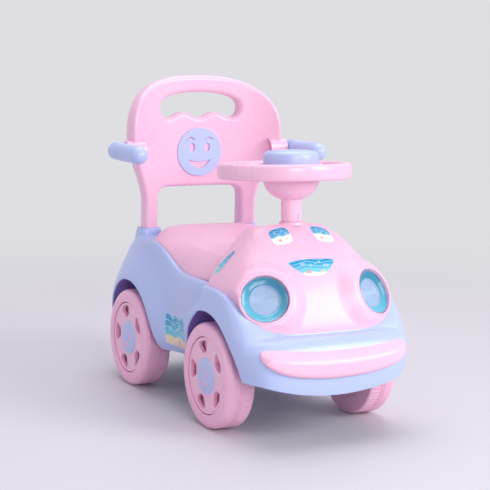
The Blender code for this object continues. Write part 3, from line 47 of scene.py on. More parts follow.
class Wire:
    """A socket of a finish, on which + - * / and ** add Math nodes."""

    def __init__(self, finish, socket):
        self.finish, self.socket = finish, socket

    def maths(self, operation, first, second):
        return self.finish.node("ShaderNodeMath", {"operation": operation}, {0: first, 1: second})

    def __add__(self, other):
        return self.maths("ADD", self, other)

    def __sub__(self, other):
        return self.maths("SUBTRACT", self, other)

    def __rsub__(self, other):
        return self.maths("SUBTRACT", other, self)

    def __mul__(self, other):
        return self.maths("MULTIPLY", self, other)

    def __truediv__(self, other):
        return self.maths("DIVIDE", self, other)

    def __pow__(self, other):
        return self.maths("POWER", self, other)

    def sine(self):
        return self.maths("SINE", self, 0.0)

    def size(self):
        return self.maths("ABSOLUTE", self, 0.0)

    def higher(self, other):
        return self.maths("MAXIMUM", self, other)

    def step(self, start, end):
        """0 below start, 1 above end, smooth between them; falls where end is below start."""
        return self.finish.node("ShaderNodeMapRange", {"interpolation_type": "SMOOTHSTEP"},
                                {"Value": self, "From Min": start, "From Max": end})

    __radd__, __rmul__ = __add__, __mul__


def distance(first, second):
    """Length of the way that has two wires as its sides."""
    return ((first * first) + (second * second)) ** 0.5


class Finish:
    """One material: its Principled shader, and the nodes that feed it."""

    def __init__(self, name, colour, roughness, **constants):
        self.material = bpy.data.materials.new(name)
        self.material.use_nodes = True
        self.tree = self.material.node_tree
        self.shader = self.tree.nodes["Principled BSDF"]
        self.set("Base Color", (*colour, 1.0))
        self.set("Roughness", roughness)
        for word, value in constants.items():
            self.set(word.replace("_", " "), value)

    def set(self, word, value):
        self.join(self.shader.inputs[word], value)

    def join(self, socket, value):
        if isinstance(value, Wire):
            self.tree.links.new(value.socket, socket)
        else:
            socket.default_value = value

    def node(self, kind, settings, sockets, out=0):
        made = self.tree.nodes.new(kind)
        for word, value in settings.items():
            setattr(made, word, value)
        for key, value in sockets.items():
            self.join(made.inputs[key], value)
        return Wire(self, made.outputs[out])

    def axes(self, space="Object"):
        """The three numbers of the Object coordinates, or of the piece's own UV map."""
        first = self.node("ShaderNodeSeparateXYZ", {}, {0: self.node("ShaderNodeTexCoord", {}, {}, space)}, "X")
        return first, *(Wire(self, first.socket.node.outputs[word]) for word in "YZ")

    def noise(self, scale, detail=3.0, stretch=None):
        place = self.node("ShaderNodeTexCoord", {}, {}, "Object")
        if stretch:
            place = self.node("ShaderNodeMapping", {}, {"Vector": place, "Scale": stretch})
        return self.node("ShaderNodeTexNoise", {}, {"Vector": place, "Scale": scale, "Detail": detail}, "Fac")

    def blend(self, share, first, second):
        """Mixes two colours; each is a colour or a Wire."""
        sockets = {0: share}
        for key, colour in ((6, first), (7, second)):
            sockets[key] = colour if isinstance(colour, Wire) else (*colour, 1.0)
        return self.node("ShaderNodeMix", {"data_type": "RGBA"}, sockets, 2)

    def relief(self, *layers):
        """Chains a Bump for each (height, depth in metres)."""
        below = {}
        for height, depth in layers:
            normal = self.node("ShaderNodeBump", {}, {"Height": height, "Distance": depth, "Strength": 1.0, **below},
                               "Normal")
            below = {"Normal": normal}
        self.set("Normal", normal)
        return self


def put(name, data):
    """An object in the scene."""
    item = bpy.data.objects.new(name, data)
    bpy.context.scene.collection.objects.link(item)
    return item


PHOTO_SIDE, FOCAL_PIXELS, SENSOR = 490.0, 1473.0, 36.0
STAND = (-1.055, -1.9942, 0.577)
YAW, PITCH, ROLL = np.radians((27.61, 8.41, 1.33))
ahead = Vector((math.sin(YAW) * math.cos(PITCH), math.cos(YAW) * math.cos(PITCH), -math.sin(PITCH)))
aside = Vector((math.cos(YAW), -math.sin(YAW), 0.0))
above = aside.cross(ahead)
tilted = aside * math.cos(ROLL) + above * math.sin(ROLL)
upright = above * math.cos(ROLL) - aside * math.sin(ROLL)
viewer = put("photo_view", bpy.data.cameras.new("photo_view"))
viewer.data.sensor_width, viewer.data.lens = SENSOR, SENSOR * FOCAL_PIXELS / PHOTO_SIDE
viewer.matrix_world = Matrix([*zip(tilted, upright, -ahead, STAND), (0, 0, 0, 1)])
bpy.context.scene.camera = viewer
bpy.context.scene.view_settings.view_transform = "Standard"

AIM = Vector((0.0, 0.0, 0.2))
for name, place, size, power, colour in (
        ("front_softbox", (1.6, -2.3, 1.5), 1.5, 55.0, (1.0, 0.99, 0.985)),
        ("window_light", (-0.4, -2.7, 1.1), 1.1, 22.0, (1.0, 1.0, 1.0)),
        ("top_softbox", (0.2, 0.6, 2.6), 2.4, 42.0, (1.0, 0.98, 1.0)),
        ("left_card", (-2.6, 0.4, 1.1), 1.8, 11.0, (0.97, 0.95, 1.0))):
    lamp = bpy.data.lights.new(name, "AREA")
    lamp.shape, lamp.size, lamp.energy, lamp.color = "SQUARE", size, power, colour
    hung = put(name, lamp)
    hung.location = place
    hung.rotation_euler = (AIM - Vector(place)).to_track_quat("-Z", "Y").to_euler()

PALE, FILL, FILL_STRENGTH = (0.735, 0.735, 0.765, 1.0), (0.86, 0.79, 0.97, 1.0), 0.42
world = bpy.data.worlds.new("studio")
bpy.context.scene.world = world
world.use_nodes = True
sky = world.node_tree
choice = sky.nodes.new("ShaderNodeMixShader")
for socket, colour, strength in ((1, FILL, FILL_STRENGTH), (2, PALE, 1.0)):
    shade = sky.nodes.new("ShaderNodeBackground")
    shade.inputs["Color"].default_value, shade.inputs["Strength"].default_value = colour, strength
    sky.links.new(shade.outputs[0], choice.inputs[socket])
path = sky.nodes.new("ShaderNodeLightPath")
direct = path.outputs["Is Camera Ray"]
for word in ("Is Glossy Ray", "Is Transmission Ray"):
    either = sky.nodes.new("ShaderNodeMath")
    either.operation = "MAXIMUM"
    sky.links.new(direct, either.inputs[0])
    sky.links.new(path.outputs[word], either.inputs[1])
    direct = either.outputs[0]
sky.links.new(direct, choice.inputs["Fac"])
sky.links.new(choice.outputs[0], sky.nodes["World Output"].inputs["Surface"])

FLOOR_HALF, FADE_START, FADE_END = 30.0, 0.55, 1.9
floor_finish = Finish("studio_floor", (0.65, 0.64, 0.665), 0.55)
floor_x, floor_y, _ = floor_finish.axes()
tree = floor_finish.tree
glow, fade = tree.nodes.new("ShaderNodeEmission"), tree.nodes.new("ShaderNodeMixShader")
glow.inputs["Color"].default_value = PALE
floor_finish.join(fade.inputs[0], distance(floor_x, floor_y).step(FADE_START, FADE_END))
tree.links.new(floor_finish.shader.outputs[0], fade.inputs[1])
tree.links.new(glow.outputs[0], fade.inputs[2])
tree.links.new(fade.outputs[0], tree.nodes["Material Output"].inputs["Surface"])
ground = bpy.data.meshes.new("floor")
ground.from_pydata([(x * FLOOR_HALF, y * FLOOR_HALF, 0.0) for x, y in ((-1, -1), (1, -1), (1, 1), (-1, 1))], [],
                   [(0, 1, 2, 3)])
ground.materials.append(floor_finish.material)
put("floor", ground)


# The body shell.
# One blow-moulded shell of glossy lavender-blue plastic: nose, fenders, wheel arches, deck and the
# two towers for the back. Its skin ends in rounded lips. The wells behind the wheels are of the same
# blue plastic, but are given a deep purple colour as painted shade.

def quads(rows, columns, wrap):
    """Corner numbers of the faces between neighbouring points of a grid."""
    index = np.arange(rows * columns).reshape(rows, columns)
    left = index if wrap else index[:, :-1]
    right = np.roll(index, -1, axis=1) if wrap else index[:, 1:]
    return np.stack([left[:-1], right[:-1], right[1:], left[1:]], axis=-1).reshape(-1, 4)


def form(name, sheets, finish, body, stands_for=(), away=None, toward=None, closed=False, angle=40.0):
    """A piece from grids of points, each (array of rows x columns x 3, wrap). Faces look away from
    one point, or toward one, or are turned outwards as a closed solid."""
    flats, faces, start = [], [], 0
    eye = away if toward is None else toward
    for sheet, wrap in sheets:
        flat, made = sheet.reshape(-1, 3), quads(*sheet.shape[:2], wrap)
        if eye is not None:
            a, b, c, d = flat[made].transpose(1, 0, 2)
            facing = np.sum(np.cross(c - a, d - b) * (0.25 * (a + b + c + d) - eye))
            if (facing < 0.0) == (toward is None):
                made = made[:, ::-1]
        flats.append(flat)
        faces.append(made + start)
        start += len(flat)
    mesh = bpy.data.meshes.new(name)
    mesh.from_pydata(np.concatenate(flats).tolist(), [], np.concatenate(faces).tolist())
    return settle(name, mesh, finish, body, stands_for, closed, angle)


def settle(name, mesh, finish, body, stands_for=(), closed=False, angle=40.0):
    """Merges a mesh's doubles, shades it, gives it its finish and lets it ride on its body."""
    bm = bmesh.new()
    bm.from_mesh(mesh)
    bmesh.ops.remove_doubles(bm, verts=bm.verts, dist=2e-6)
    bmesh.ops.dissolve_degenerate(bm, edges=bm.edges, dist=1e-7)
    if closed:
        bmesh.ops.recalc_face_normals(bm, faces=bm.faces)
    bm.to_mesh(mesh)
    bm.free()
    mesh.shade_smooth()
    mesh.set_sharp_from_angle(angle=math.radians(angle))
    mesh.materials.append(finish.material)
    piece = put(name, mesh)
    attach(piece, body)
    if stands_for:
        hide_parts(*stands_for)
    return piece


def rest_of(name, node, outer, finish, body, reach=0.0035, flank=9.0):
    """What is left of a node's mesh where the outer pieces don't lie over it, as its hidden side. On
    the flanks, past a distance from the middle, nothing is left outside the outer pieces."""
    bm = bmesh.new()
    bm.from_mesh(nodes[node].data)
    bmesh.ops.remove_doubles(bm, verts=bm.verts, dist=1e-6)
    trees = []
    for piece in outer:
        skin_bm = bmesh.new()
        skin_bm.from_mesh(piece.data)
        trees.append(BVHTree.FromBMesh(skin_bm))
        skin_bm.free()

    def lies_under(face):
        for tree in trees:
            place, normal, _, _ = tree.find_nearest(face.calc_center_median(), reach)
            if place is not None and normal.dot(face.normal) > 0.45:
                return True
        for corner in [face.calc_center_median()] + [vert.co for vert in face.verts]:
            place, normal, _, _ = trees[0].find_nearest(corner, 0.02)
            if place is not None and abs(corner.x) > flank and (corner - place).dot(normal) > -0.0002:
                return True
        return False

    bmesh.ops.delete(bm, geom=[face for face in bm.faces if lies_under(face)], context="FACES")
    mesh = bpy.data.meshes.new(name)
    bm.to_mesh(mesh)
    bm.free()
    return settle(name, mesh, finish, body, (node,), angle=30.0)


def moulded(name, colour, tint, roughness=0.33, peel=0.00006):
    """Glossy moulded plastic: cloudy colour and gloss, orange peel and shallow sink waves."""
    finish = Finish(name, colour, roughness, Coat_Weight=0.15, Coat_Roughness=0.10)
    cloud = finish.noise(7.0, 2.0)
    fine = finish.noise(130.0, 3.0)
    paler = tuple(0.6 * c + 0.4 * t for c, t in zip(colour, tint))
    mottled = finish.blend((cloud * 0.8).step(0.30, 0.62), colour, paler)
    finish.set("Base Color", finish.blend((fine - 0.5).step(-0.15, 0.30) * 0.12, mottled, tint))
    finish.set("Roughness", (cloud * 0.09) + (fine * 0.05) + (roughness - 0.06))
    return finish.relief((finish.noise(14.0, 1.0), 0.0008), (finish.noise(900.0, 2.0), peel))


blue_plastic = moulded("blue_plastic", (0.450, 0.550, 0.860), (0.51, 0.59, 0.88))

SIDES = ((1.0, "left"), (-1.0, "right"))
QUARTER = 0.5 * math.pi
AXLE_HEIGHT, FRONT_AXLE_Y, REAR_AXLE_Y = 0.0775, -0.1288, 0.1582
BODY_HALF_WIDTH, NOSE_REACH, TAIL_REACH, SILL_HEIGHT = 0.1275, 0.2735, 0.2847, 0.077
WIDTH_DROP_IN, NOSE_DROP_IN, TAIL_DROP_IN, TUCK_IN = 0.0121, 0.0359, 0.0695, 0.005
SEAM_REACH = NOSE_REACH - NOSE_DROP_IN
SEAM_NOSE_Z, COWL_RUN, COWL_RISE = 0.151, 0.1005, 0.0553
SHOULDER_Y, SHOULDER_RUN, SHOULDER_RISE = -0.0161, 0.125, 0.0332
NOSE_SWELL, REAR_SWELL, REAR_SWELL_EDGE = 0.0214, 0.0155, 0.150
FRONT_ARCH, REAR_ARCH, WELL_DEPTH = 0.0947, 0.094, 0.088
LEDGE, SEAM_GAP, POCKET_DEPTH = 0.0012, 0.0003, 0.006
LIP, HEM, WALL_HEIGHT = 0.0013, 0.006, 0.13
LIP_SHARE = LIP / WALL_HEIGHT
HOOD_REAR_Y, DECK_FRONT_Y = -0.1002, 0.10
SEAT_FRONT_Y, SEAT_BACK_Y, SEAT_MIDDLE_Y = -0.0952, 0.1748, 0.0398


def places(*axes):
    """Points from the arrays of their coordinates, which broadcast together."""
    return np.stack(np.broadcast_arrays(*axes), axis=-1)


def unit(vectors):
    """Each vector divided by its length."""
    return vectors / np.linalg.norm(vectors, axis=-1, keepdims=True)


def signed_power(value, power):
    """|v|^p with the sign of v."""
    return np.sign(value) * np.abs(value) ** power


def smooth(t):
    """3t^2 - 2t^3 between 0 and 1."""
    t = np.clip(t, 0.0, 1.0)
    return t * t * (3.0 - 2.0 * t)


def rollover(rise, power):
    """1 - (1 - rise^p)^(1/p): 0 at the foot, 1 and level at the top."""
    return 1.0 - (1.0 - np.clip(rise, 0.0, 1.0) ** power) ** (1.0 / power)


def squareness(front, rise):
    """Power of the plan outline in front and behind, which falls with the share of the height."""
    return np.where(front, 9.2 - 1.9 * rise, 9.5 - 4.7 * rise)


def reach_at(front, rise):
    """How far the outline reaches to the nose or to the tail."""
    tuck = TUCK_IN * (1.0 - rise) ** 2
    nose = NOSE_REACH - NOSE_DROP_IN * rollover(rise, 2.5) - tuck
    tail = TAIL_REACH - TAIL_DROP_IN * rollover(rise, 2.0) - tuck
    return np.where(front, nose, tail)


def seam_height(y):
    """Top edge of the shell: a sine rise over the cowl and a smooth step to the shoulders."""
    cowl = np.sin(QUARTER * np.clip((y + SEAM_REACH) / COWL_RUN, 0.0, 1.0)) ** 0.8
    return SEAM_NOSE_Z + COWL_RISE * cowl + SHOULDER_RISE * smooth((y - SHOULDER_Y) / SHOULDER_RUN)


def nose_swell(y, z):
    """Stand of the front fenders; their rear end lies further back lower down."""
    high = smooth((z - 0.130) / 0.070)
    return NOSE_SWELL * smooth((-0.010 - 0.078 * high - y) / (0.110 - 0.090 * high)) * (1.0 - 0.36 * high)


def rear_flare(y, z):
    """Stand of the rear fenders: a smooth step of the distance from the axle."""
    far = np.hypot(y - REAR_AXLE_Y, z - AXLE_HEIGHT)
    return REAR_SWELL * smooth((REAR_SWELL_EDGE - far) / (REAR_SWELL_EDGE - REAR_ARCH))


def skin(turn, rise, inset=0.0):
    """Right half of the skin at a turn round the plan and a share of the height: a superellipse
    whose reach and width roll over towards the top, plus the swell of the fenders."""
    turn, rise = np.broadcast_arrays(turn, rise)
    c, s = np.abs(np.cos(turn)), np.sin(turn)
    power = squareness(s < 0.0, rise)
    unit_x = np.where(c < 1e-12, 0.0, c) ** (2.0 / power)
    y = (reach_at(s < 0.0, rise) - inset) * signed_power(s, 2.0 / power)
    roll = 4.3 - 1.45 * smooth(y / 0.12)
    tuck = TUCK_IN * (1.0 - rise) ** 2
    x = (BODY_HALF_WIDTH - WIDTH_DROP_IN * rollover(rise, roll) - 0.6 * tuck - inset) * unit_x
    across = (x / BODY_HALF_WIDTH) ** 2
    low = SILL_HEIGHT - 0.008 * smooth(-3.0 * y / NOSE_REACH - 2.0) * (1.0 - across)
    low = low + 0.0167 * smooth(-2.0 * y / NOSE_REACH - 1.0) * across
    z = low + rise * (seam_height(y) - low)
    foot = 0.0137 * smooth((-0.130 - y) / 0.090) * (1.0 - rise) ** 1.5
    sill = 0.018 * (1.0 - rise) ** 8 * smooth((y + 0.130) / 0.080)
    out = (nose_swell(y, z) - foot) * unit_x ** 5.0 + rear_flare(y, z) * unit_x ** 3.6 - sill * unit_x
    return places(x + out, y, z)


def turn_at(y, rise):
    """Turn at which the outline passes a place along the car."""
    share = np.clip(np.abs(y) / reach_at(y < 0.0, rise), 0.0, 1.0)
    return np.sign(y) * np.arcsin(share ** (0.5 * squareness(y < 0.0, rise)))


def waist(y):
    """Half width of the top edge beside the seat."""
    share, power = np.clip(np.abs(y) / reach_at(y < 0.0, 1.0), 0.0, 1.0), squareness(y < 0.0, 1.0)
    return (BODY_HALF_WIDTH - WIDTH_DROP_IN) * (1.0 - share ** power) ** (1.0 / power) + rear_flare(y, seam_height(y))


def arch_rise(theta, axle_y, radius):
    """Place along the car, and share of the height, where the skin meets a circle round the axle."""
    y = axle_y + radius * np.cos(theta)
    z = AXLE_HEIGHT + radius * np.sin(theta)
    rise = np.full_like(y, 0.3)
    for _ in range(30):
        at = skin(turn_at(y, rise), rise)
        rise = np.clip(rise + (z - at[:, 2]) / (seam_height(y) - SILL_HEIGHT), 0.0, 1.0)
    return y, np.maximum(rise, LIP_SHARE)


def run(line, bend_weight=0.0):
    """Share of a line's length passed at each of its points, where bends count as extra length."""
    heading = np.unwrap(np.arctan2(np.diff(line[:, 1]), np.diff(line[:, 0])))
    bend = np.abs(np.diff(heading, prepend=heading[0]))
    step = np.linalg.norm(np.diff(line, axis=0), axis=1)
    length = np.concatenate([[0.0], np.cumsum(step + bend_weight * bend)])
    return length / length[-1]


def even_share(line, count, bend_weight=0.0):
    """Shares of a line's points, at which it is cut into even lengths."""
    return np.interp(np.linspace(0.0, 1.0, count), run(line, bend_weight), np.linspace(0.0, 1.0, len(line)))


def outline_share(start, end, count):
    """Shares of a stretch of turns that cut the middle outline into even lengths."""
    return even_share(skin(np.linspace(start, end, 6001), 0.45), count, 0.03)


arc = np.linspace(math.pi, 0.0, 97)
front_y, front_low = arch_rise(arc, FRONT_AXLE_Y, FRONT_ARCH + LIP)
rear_y, rear_low = arch_rise(arc, REAR_AXLE_Y, REAR_ARCH + LIP)
sill_y = np.linspace(front_y[-1], rear_y[0], 34)[1:-1]
side_y = np.concatenate([front_y, sill_y, rear_y])
side_low = np.concatenate([front_low, np.full(len(sill_y), LIP_SHARE), rear_low])
side_top = side_y - 2.42 * np.maximum(side_y - DECK_FRONT_Y, 0.0) ** 2
climb = np.sin(np.linspace(0.0, QUARTER, 56))[:, None]
side_rise = side_low + (1.0 - side_low) * climb
side_turn = turn_at(side_y + (side_top - side_y) * climb ** 1.5, side_rise)
end_rise = LIP_SHARE + (1.0 - LIP_SHARE) * climb
nose_share = outline_share(-QUARTER, float(side_turn[25, 0]), 64)[:-1]
tail_share = outline_share(float(side_turn[25, -1]), QUARTER, 60)[1:]
nose_rise = end_rise + (side_low[0] - LIP_SHARE) * (1.0 - climb) * nose_share ** 4
tail_rise = end_rise + (side_low[-1] - LIP_SHARE) * (1.0 - climb) * (1.0 - tail_share) ** 4
nose_turn = -QUARTER + (side_turn[:, :1] + QUARTER) * nose_share
tail_turn = side_turn[:, -1:] + (QUARTER - side_turn[:, -1:]) * tail_share
skin_turn = np.concatenate([nose_turn, side_turn, tail_turn], axis=1)
skin_rise = np.concatenate([nose_rise, side_rise, tail_rise], axis=1)
half = skin(skin_turn, skin_rise)
edge, top = half[0], half[-1]

# The lip curls inwards from the edge: square to the skin, and along the radius round the arches.
NUDGE = 1e-4
along = skin(skin_turn[0] + NUDGE, skin_rise[0]) - skin(skin_turn[0] - NUDGE, skin_rise[0])
inward = unit(np.cross(skin(skin_turn[0], skin_rise[0] + 1e-3) - edge, along))
inward *= -np.sign(np.sum(inward * (edge - [0.0, 0.0, edge[0, 2]]), axis=1))[:, None]
down = np.tile([0.0, 0.0, -1.0], (len(edge), 1))
first = len(nose_share)
ARCHES = (("front", first, FRONT_AXLE_Y), ("rear", first + len(front_y) + len(sill_y), REAR_AXLE_Y))
round_the_arch = smooth(np.minimum(arc, math.pi - arc) / 0.25)[:, None]
for _, begin, _ in ARCHES:
    span = slice(begin, begin + len(arc))
    radial = places(0.0, -np.cos(arc), -np.sin(arc))
    down[span] = unit(round_the_arch * radial + (1.0 - round_the_arch) * down[span])
curl = np.linspace(math.pi, 0.0, 9)[:-1, None, None]
lip = edge + inward * LIP * (1.0 - np.cos(curl)) + down * LIP * np.sin(curl)
hem = lip[:1] - down[None] * HEM

# The deck joins the top edge to the pocket that takes the hood's foot and the seat's foot.
inner = skin(skin_turn[-1], 1.0, LEDGE)
beside = (top[:, 1] >= HOOD_REAR_Y) & (top[:, 1] <= DECK_FRONT_Y)
inner[beside, 0] = waist(top[beside, 1]) - LEDGE
inner[beside, 1] = top[beside, 1]
behind = top[:, 1] > DECK_FRONT_Y
seat_turn = np.linspace(0.0, QUARTER, 3001)
seat_y = SEAT_MIDDLE_Y + np.sin(seat_turn) ** 0.5 * (SEAT_BACK_Y + SEAM_GAP - SEAT_MIDDLE_Y)
seat_line = places(np.maximum(np.cos(seat_turn), 0.0) ** 0.5 * (waist(seat_y) - LEDGE), seat_y)[seat_y >= DECK_FRONT_Y]
for k in (0, 1):
    inner[behind, k] = np.interp(run(top[behind]), run(seat_line), seat_line[:, k])
inner[:, 2] = seam_height(inner[:, 1])
inner[[0, -1], 0] = 0.0
deck = top + (inner - top) * np.linspace(0.0, 1.0, 8)[1:, None, None]
pocket = inner - [[[0.0, 0.0, depth]] for depth in (0.0005, 0.003, POCKET_DEPTH)]


def both_sides(sheet):
    """Closes the right half of a ring, whose ends lie on the middle, with its mirror image."""
    sheet[:, [0, -1], 0] = 0.0
    return np.concatenate([sheet, sheet[:, -2:0:-1] * [-1.0, 1.0, 1.0]], axis=1), True


body_skin = form("body_skin", [both_sides(np.concatenate([hem, lip, half, deck, pocket]))], blue_plastic, "car",
                 away=(0.0, 0.0, 0.12), angle=50.0)

# Painted shade: the wells take a darker purple colour than the shell for the shade that falls inside them.
painted_well_shade = moulded("violet_shade", (0.235, 0.165, 0.520), (0.30, 0.20, 0.60), 0.34)
wells = []
for where, begin, axle_y in ARCHES:
    outer = lip[0, begin:begin + len(arc)]
    back = places(WELL_DEPTH, outer[:, 1], outer[:, 2])
    hub = np.array([WELL_DEPTH, axle_y, AXLE_HEIGHT + 0.004])
    tunnel = back + (outer - back) * np.linspace(0.0, 1.0, 9)[:, None, None]
    wall = hub + (back - hub) * np.linspace(0.16, 1.0, 5)[:, None, None] + [0.0002, 0.0, 0.0]
    for side, word in SIDES:
        wells.append(form(f"wheel_well_{where}_{word}", [(sheet * [side, 1.0, 1.0], False) for sheet in (tunnel, wall)],
                          painted_well_shade, "car", toward=(side * 0.30, axle_y, AXLE_HEIGHT)))

SOCKET_X, SOCKET_TOP_Z, SEAT_GAP = 0.0875, 0.2505, 0.0003
TOWER_HALF, TOWER_FOOT_Z, TOWER_SPREAD, TOWER_ROUND = 0.0168, 0.190, 0.014, 0.0015
PLATE_Y, PLATE_DEPTH, WRAP_FORWARD, WRAP_THICKEN, WING_X = 0.1948, 0.022, 0.045, 0.020, 0.1345


def back_front(x):
    """Front face of the back in plan: it comes forwards with the cube of the distance."""
    return PLATE_Y - WRAP_FORWARD * (np.abs(x) / WING_X) ** 3


def back_depth(x):
    """Thickness of the back in plan, which grows the same way."""
    return PLATE_DEPTH + WRAP_THICKEN * (np.abs(x) / WING_X) ** 3


SOCKET_Y = float(back_front(SOCKET_X) + 0.5 * back_depth(SOCKET_X))
around = np.linspace(0.0, 4.0 * QUARTER, 72, endpoint=False)
crest = np.linspace(0.0, QUARTER, 5)[1:]
level = np.concatenate([np.linspace(0.230, SOCKET_TOP_Z - TOWER_ROUND, 26),
                        SOCKET_TOP_Z - TOWER_ROUND + TOWER_ROUND * np.sin(crest), [SOCKET_TOP_Z] * 4])
spread = TOWER_SPREAD * np.clip(1.0 - (level - TOWER_FOOT_Z) / (SOCKET_TOP_Z - TOWER_FOOT_Z), 0.0, 1.0) ** 1.3
close_in = np.concatenate([np.zeros(26), TOWER_ROUND * (1.0 - np.cos(crest)), [0.004, 0.008, 0.012, TOWER_HALF]])
reach = (TOWER_HALF + spread - close_in)[:, None]
towers = []
for side, word in SIDES[::-1]:
    tower = places(side * SOCKET_X + reach * signed_power(np.cos(around), 0.5),
                   SOCKET_Y + reach * signed_power(np.sin(around), 0.5), level[:, None])
    towers.append(form(f"back_tower_{word}", [(tower, True)], blue_plastic, "car",
                       away=(side * SOCKET_X, SOCKET_Y, 0.2)))
rest_of("body_inside", "body_shell", [body_skin, *wells, *towers], blue_plastic, "car", flank=0.1135)


# The hood.
# A bulbous cover of glossy pale pink plastic that drops into the shell's pocket and is screwed on
# from below. It swells a little round each headlight, whose rim is part of the same moulding.

PINK, PALER_PINK = (0.900, 0.515, 0.690), (0.93, 0.60, 0.75)
pink_plastic = moulded("pink_plastic", PINK, PALER_PINK)
HOOD_TOP_Z, HOOD_SHOULDER_Z, HOOD_TOP_HALF, HOOD_TOP_REACH = 0.295, 0.288, 0.060, 0.030
LAMP_X, LAMP_Y, LAMP_Z, LAMP_RADIUS, LAMP_DEPTH = 0.0897, -0.2132, 0.2017, 0.034, 0.009
OUTWARD, UPWARD = np.radians((24.0, 25.6))
SWELL_RADIUS, SWELL_FADE, SWELL_PLANE = 0.062, 0.025, 0.0006


def lamp_axes(side):
    """Place of a lamp, and its axes across, up and out along the beam."""
    out = np.array([side * math.sin(OUTWARD) * math.cos(UPWARD), -math.cos(OUTWARD) * math.cos(UPWARD),
                    math.sin(UPWARD)])
    right = unit(np.cross([0.0, 0.0, 1.0], out))
    return np.array([side * LAMP_X, LAMP_Y, LAMP_Z]), np.stack([right, np.cross(out, right), out])


def swell_at_lamps(points):
    """Moves points near a lamp along its beam onto the rim's plane; the pull fades outwards."""
    for side, _ in SIDES[::-1]:
        centre, axes = lamp_axes(side)
        local = (points - centre) @ axes.T
        radius = np.hypot(local[..., 0], local[..., 1])
        pull = smooth((SWELL_RADIUS - radius) / SWELL_FADE) * (np.abs(local[..., 2]) < 0.04)
        pull *= smooth((points[..., 2] - seam_height(points[..., 1]) - 0.0005) / 0.008)
        local[..., 2] += (SWELL_PLANE - local[..., 2]) * pull
        points = local @ axes + centre
    return points


def to_the_middle(row, count):
    """Copies of a row, drawn together step by step onto the car's middle plane."""
    return row * places(np.linspace(1.0, 0.0, count)[1:], 1.0, 1.0)[:, None]


last = float(turn_at(np.array(HOOD_REAR_Y), np.array(1.0)))
line = skin(np.linspace(-QUARTER, last, 6001), 1.0, LEDGE + SEAM_GAP)
base = skin(-QUARTER + (last + QUARTER) * even_share(line[:, :2], 150, 0.045), 1.0, LEDGE + SEAM_GAP)
base[-1, 1] = HOOD_REAR_Y
base[:, 1] = np.minimum(base[:, 1], HOOD_REAR_Y)
quarter = np.linspace(0.0, QUARTER, len(base))
crown_x = HOOD_TOP_HALF * np.sin(quarter) ** 0.8
crown = places(crown_x, HOOD_REAR_Y - HOOD_TOP_REACH * np.cos(quarter) ** 0.8,
               HOOD_TOP_Z - (HOOD_TOP_Z - HOOD_SHOULDER_Z) * (crown_x / HOOD_TOP_HALF) ** 2)
crown[-1, 1] = HOOD_REAR_Y
bulge = 1.42 - 0.24 * np.linspace(0.0, 1.0, len(base)) ** 1.2
share = 1.0 - np.cos(np.linspace(0.0, QUARTER, 100)[:, None]) ** 1.4
up = (1.0 - (1.0 - share) ** bulge) ** (1.0 / bulge)
hood_half = base + (crown - base) * share[..., None]
hood_half[..., 2] = base[:, 2] + (crown[:, 2] - base[:, 2]) * up
foot = base - [[[0.0, 0.0, depth]] for depth in (POCKET_DEPTH - SEAT_GAP, 0.003)]
lid = to_the_middle(crown, 24)
sheet = swell_at_lamps(np.concatenate([foot, hood_half, lid]))
sheet[:, 0, 0] = 0.0
rear = sheet[:-len(lid), -1]
wall = np.stack([rear * [k, 1.0, 1.0] for k in np.linspace(-1.0, 1.0, 40)], axis=1)
cover = np.concatenate([sheet[:, ::-1] * [-1.0, 1.0, 1.0], sheet[:, 1:]], axis=1)
hood_cover = form("hood_cover", [(cover, False), (wall, False)], pink_plastic, "car", away=(0.0, -0.14, 0.20))
hood_bm = bmesh.new()
hood_bm.from_mesh(hood_cover.data)
centres = np.array([face.calc_center_median() for face in hood_bm.faces])
mouth = np.zeros(len(centres), bool)
for side, _ in SIDES:
    centre, axes = lamp_axes(side)
    local = (centres - centre) @ axes.T
    mouth |= (np.hypot(local[:, 0], local[:, 1]) < LAMP_RADIUS + 0.0013) & (np.abs(local[:, 2]) < 0.03)
hood_bm.faces.ensure_lookup_table()
bmesh.ops.delete(hood_bm, geom=[hood_bm.faces[k] for k in np.flatnonzero(mouth)], context="FACES")
hood_bm.to_mesh(hood_cover.data)
hood_bm.free()


def turned(profile, count, centre, axes):
    """A (radius, distance) profile carried round a circle: centre + r cos a X + r sin a Y + d Z."""
    radius, distance_out = np.asarray(profile, float).T[..., None, None]
    spin = np.linspace(0.0, 4.0 * QUARTER, count, endpoint=False)[:, None]
    return centre + radius * (np.cos(spin) * axes[0] + np.sin(spin) * axes[1]) + distance_out * axes[2], True


def rounded(corners, radius, steps=5):
    """A profile whose inner corners are rounded: each is cut back and joined by a curve through it."""
    corners = np.asarray(corners, float)
    made = [corners[:1]]
    t = np.linspace(0.0, 1.0, steps)[:, None]
    for before, here, after in zip(corners, corners[1:], corners[2:]):
        back, forth = before - here, after - here
        room = min(radius, 0.45 * np.linalg.norm(back), 0.45 * np.linalg.norm(forth))
        start, end = here + unit(back) * room, here + unit(forth) * room
        made.append((1.0 - t) ** 2 * start + 2.0 * t * (1.0 - t) * here + t ** 2 * end)
    return np.concatenate(made + [corners[-1:]])


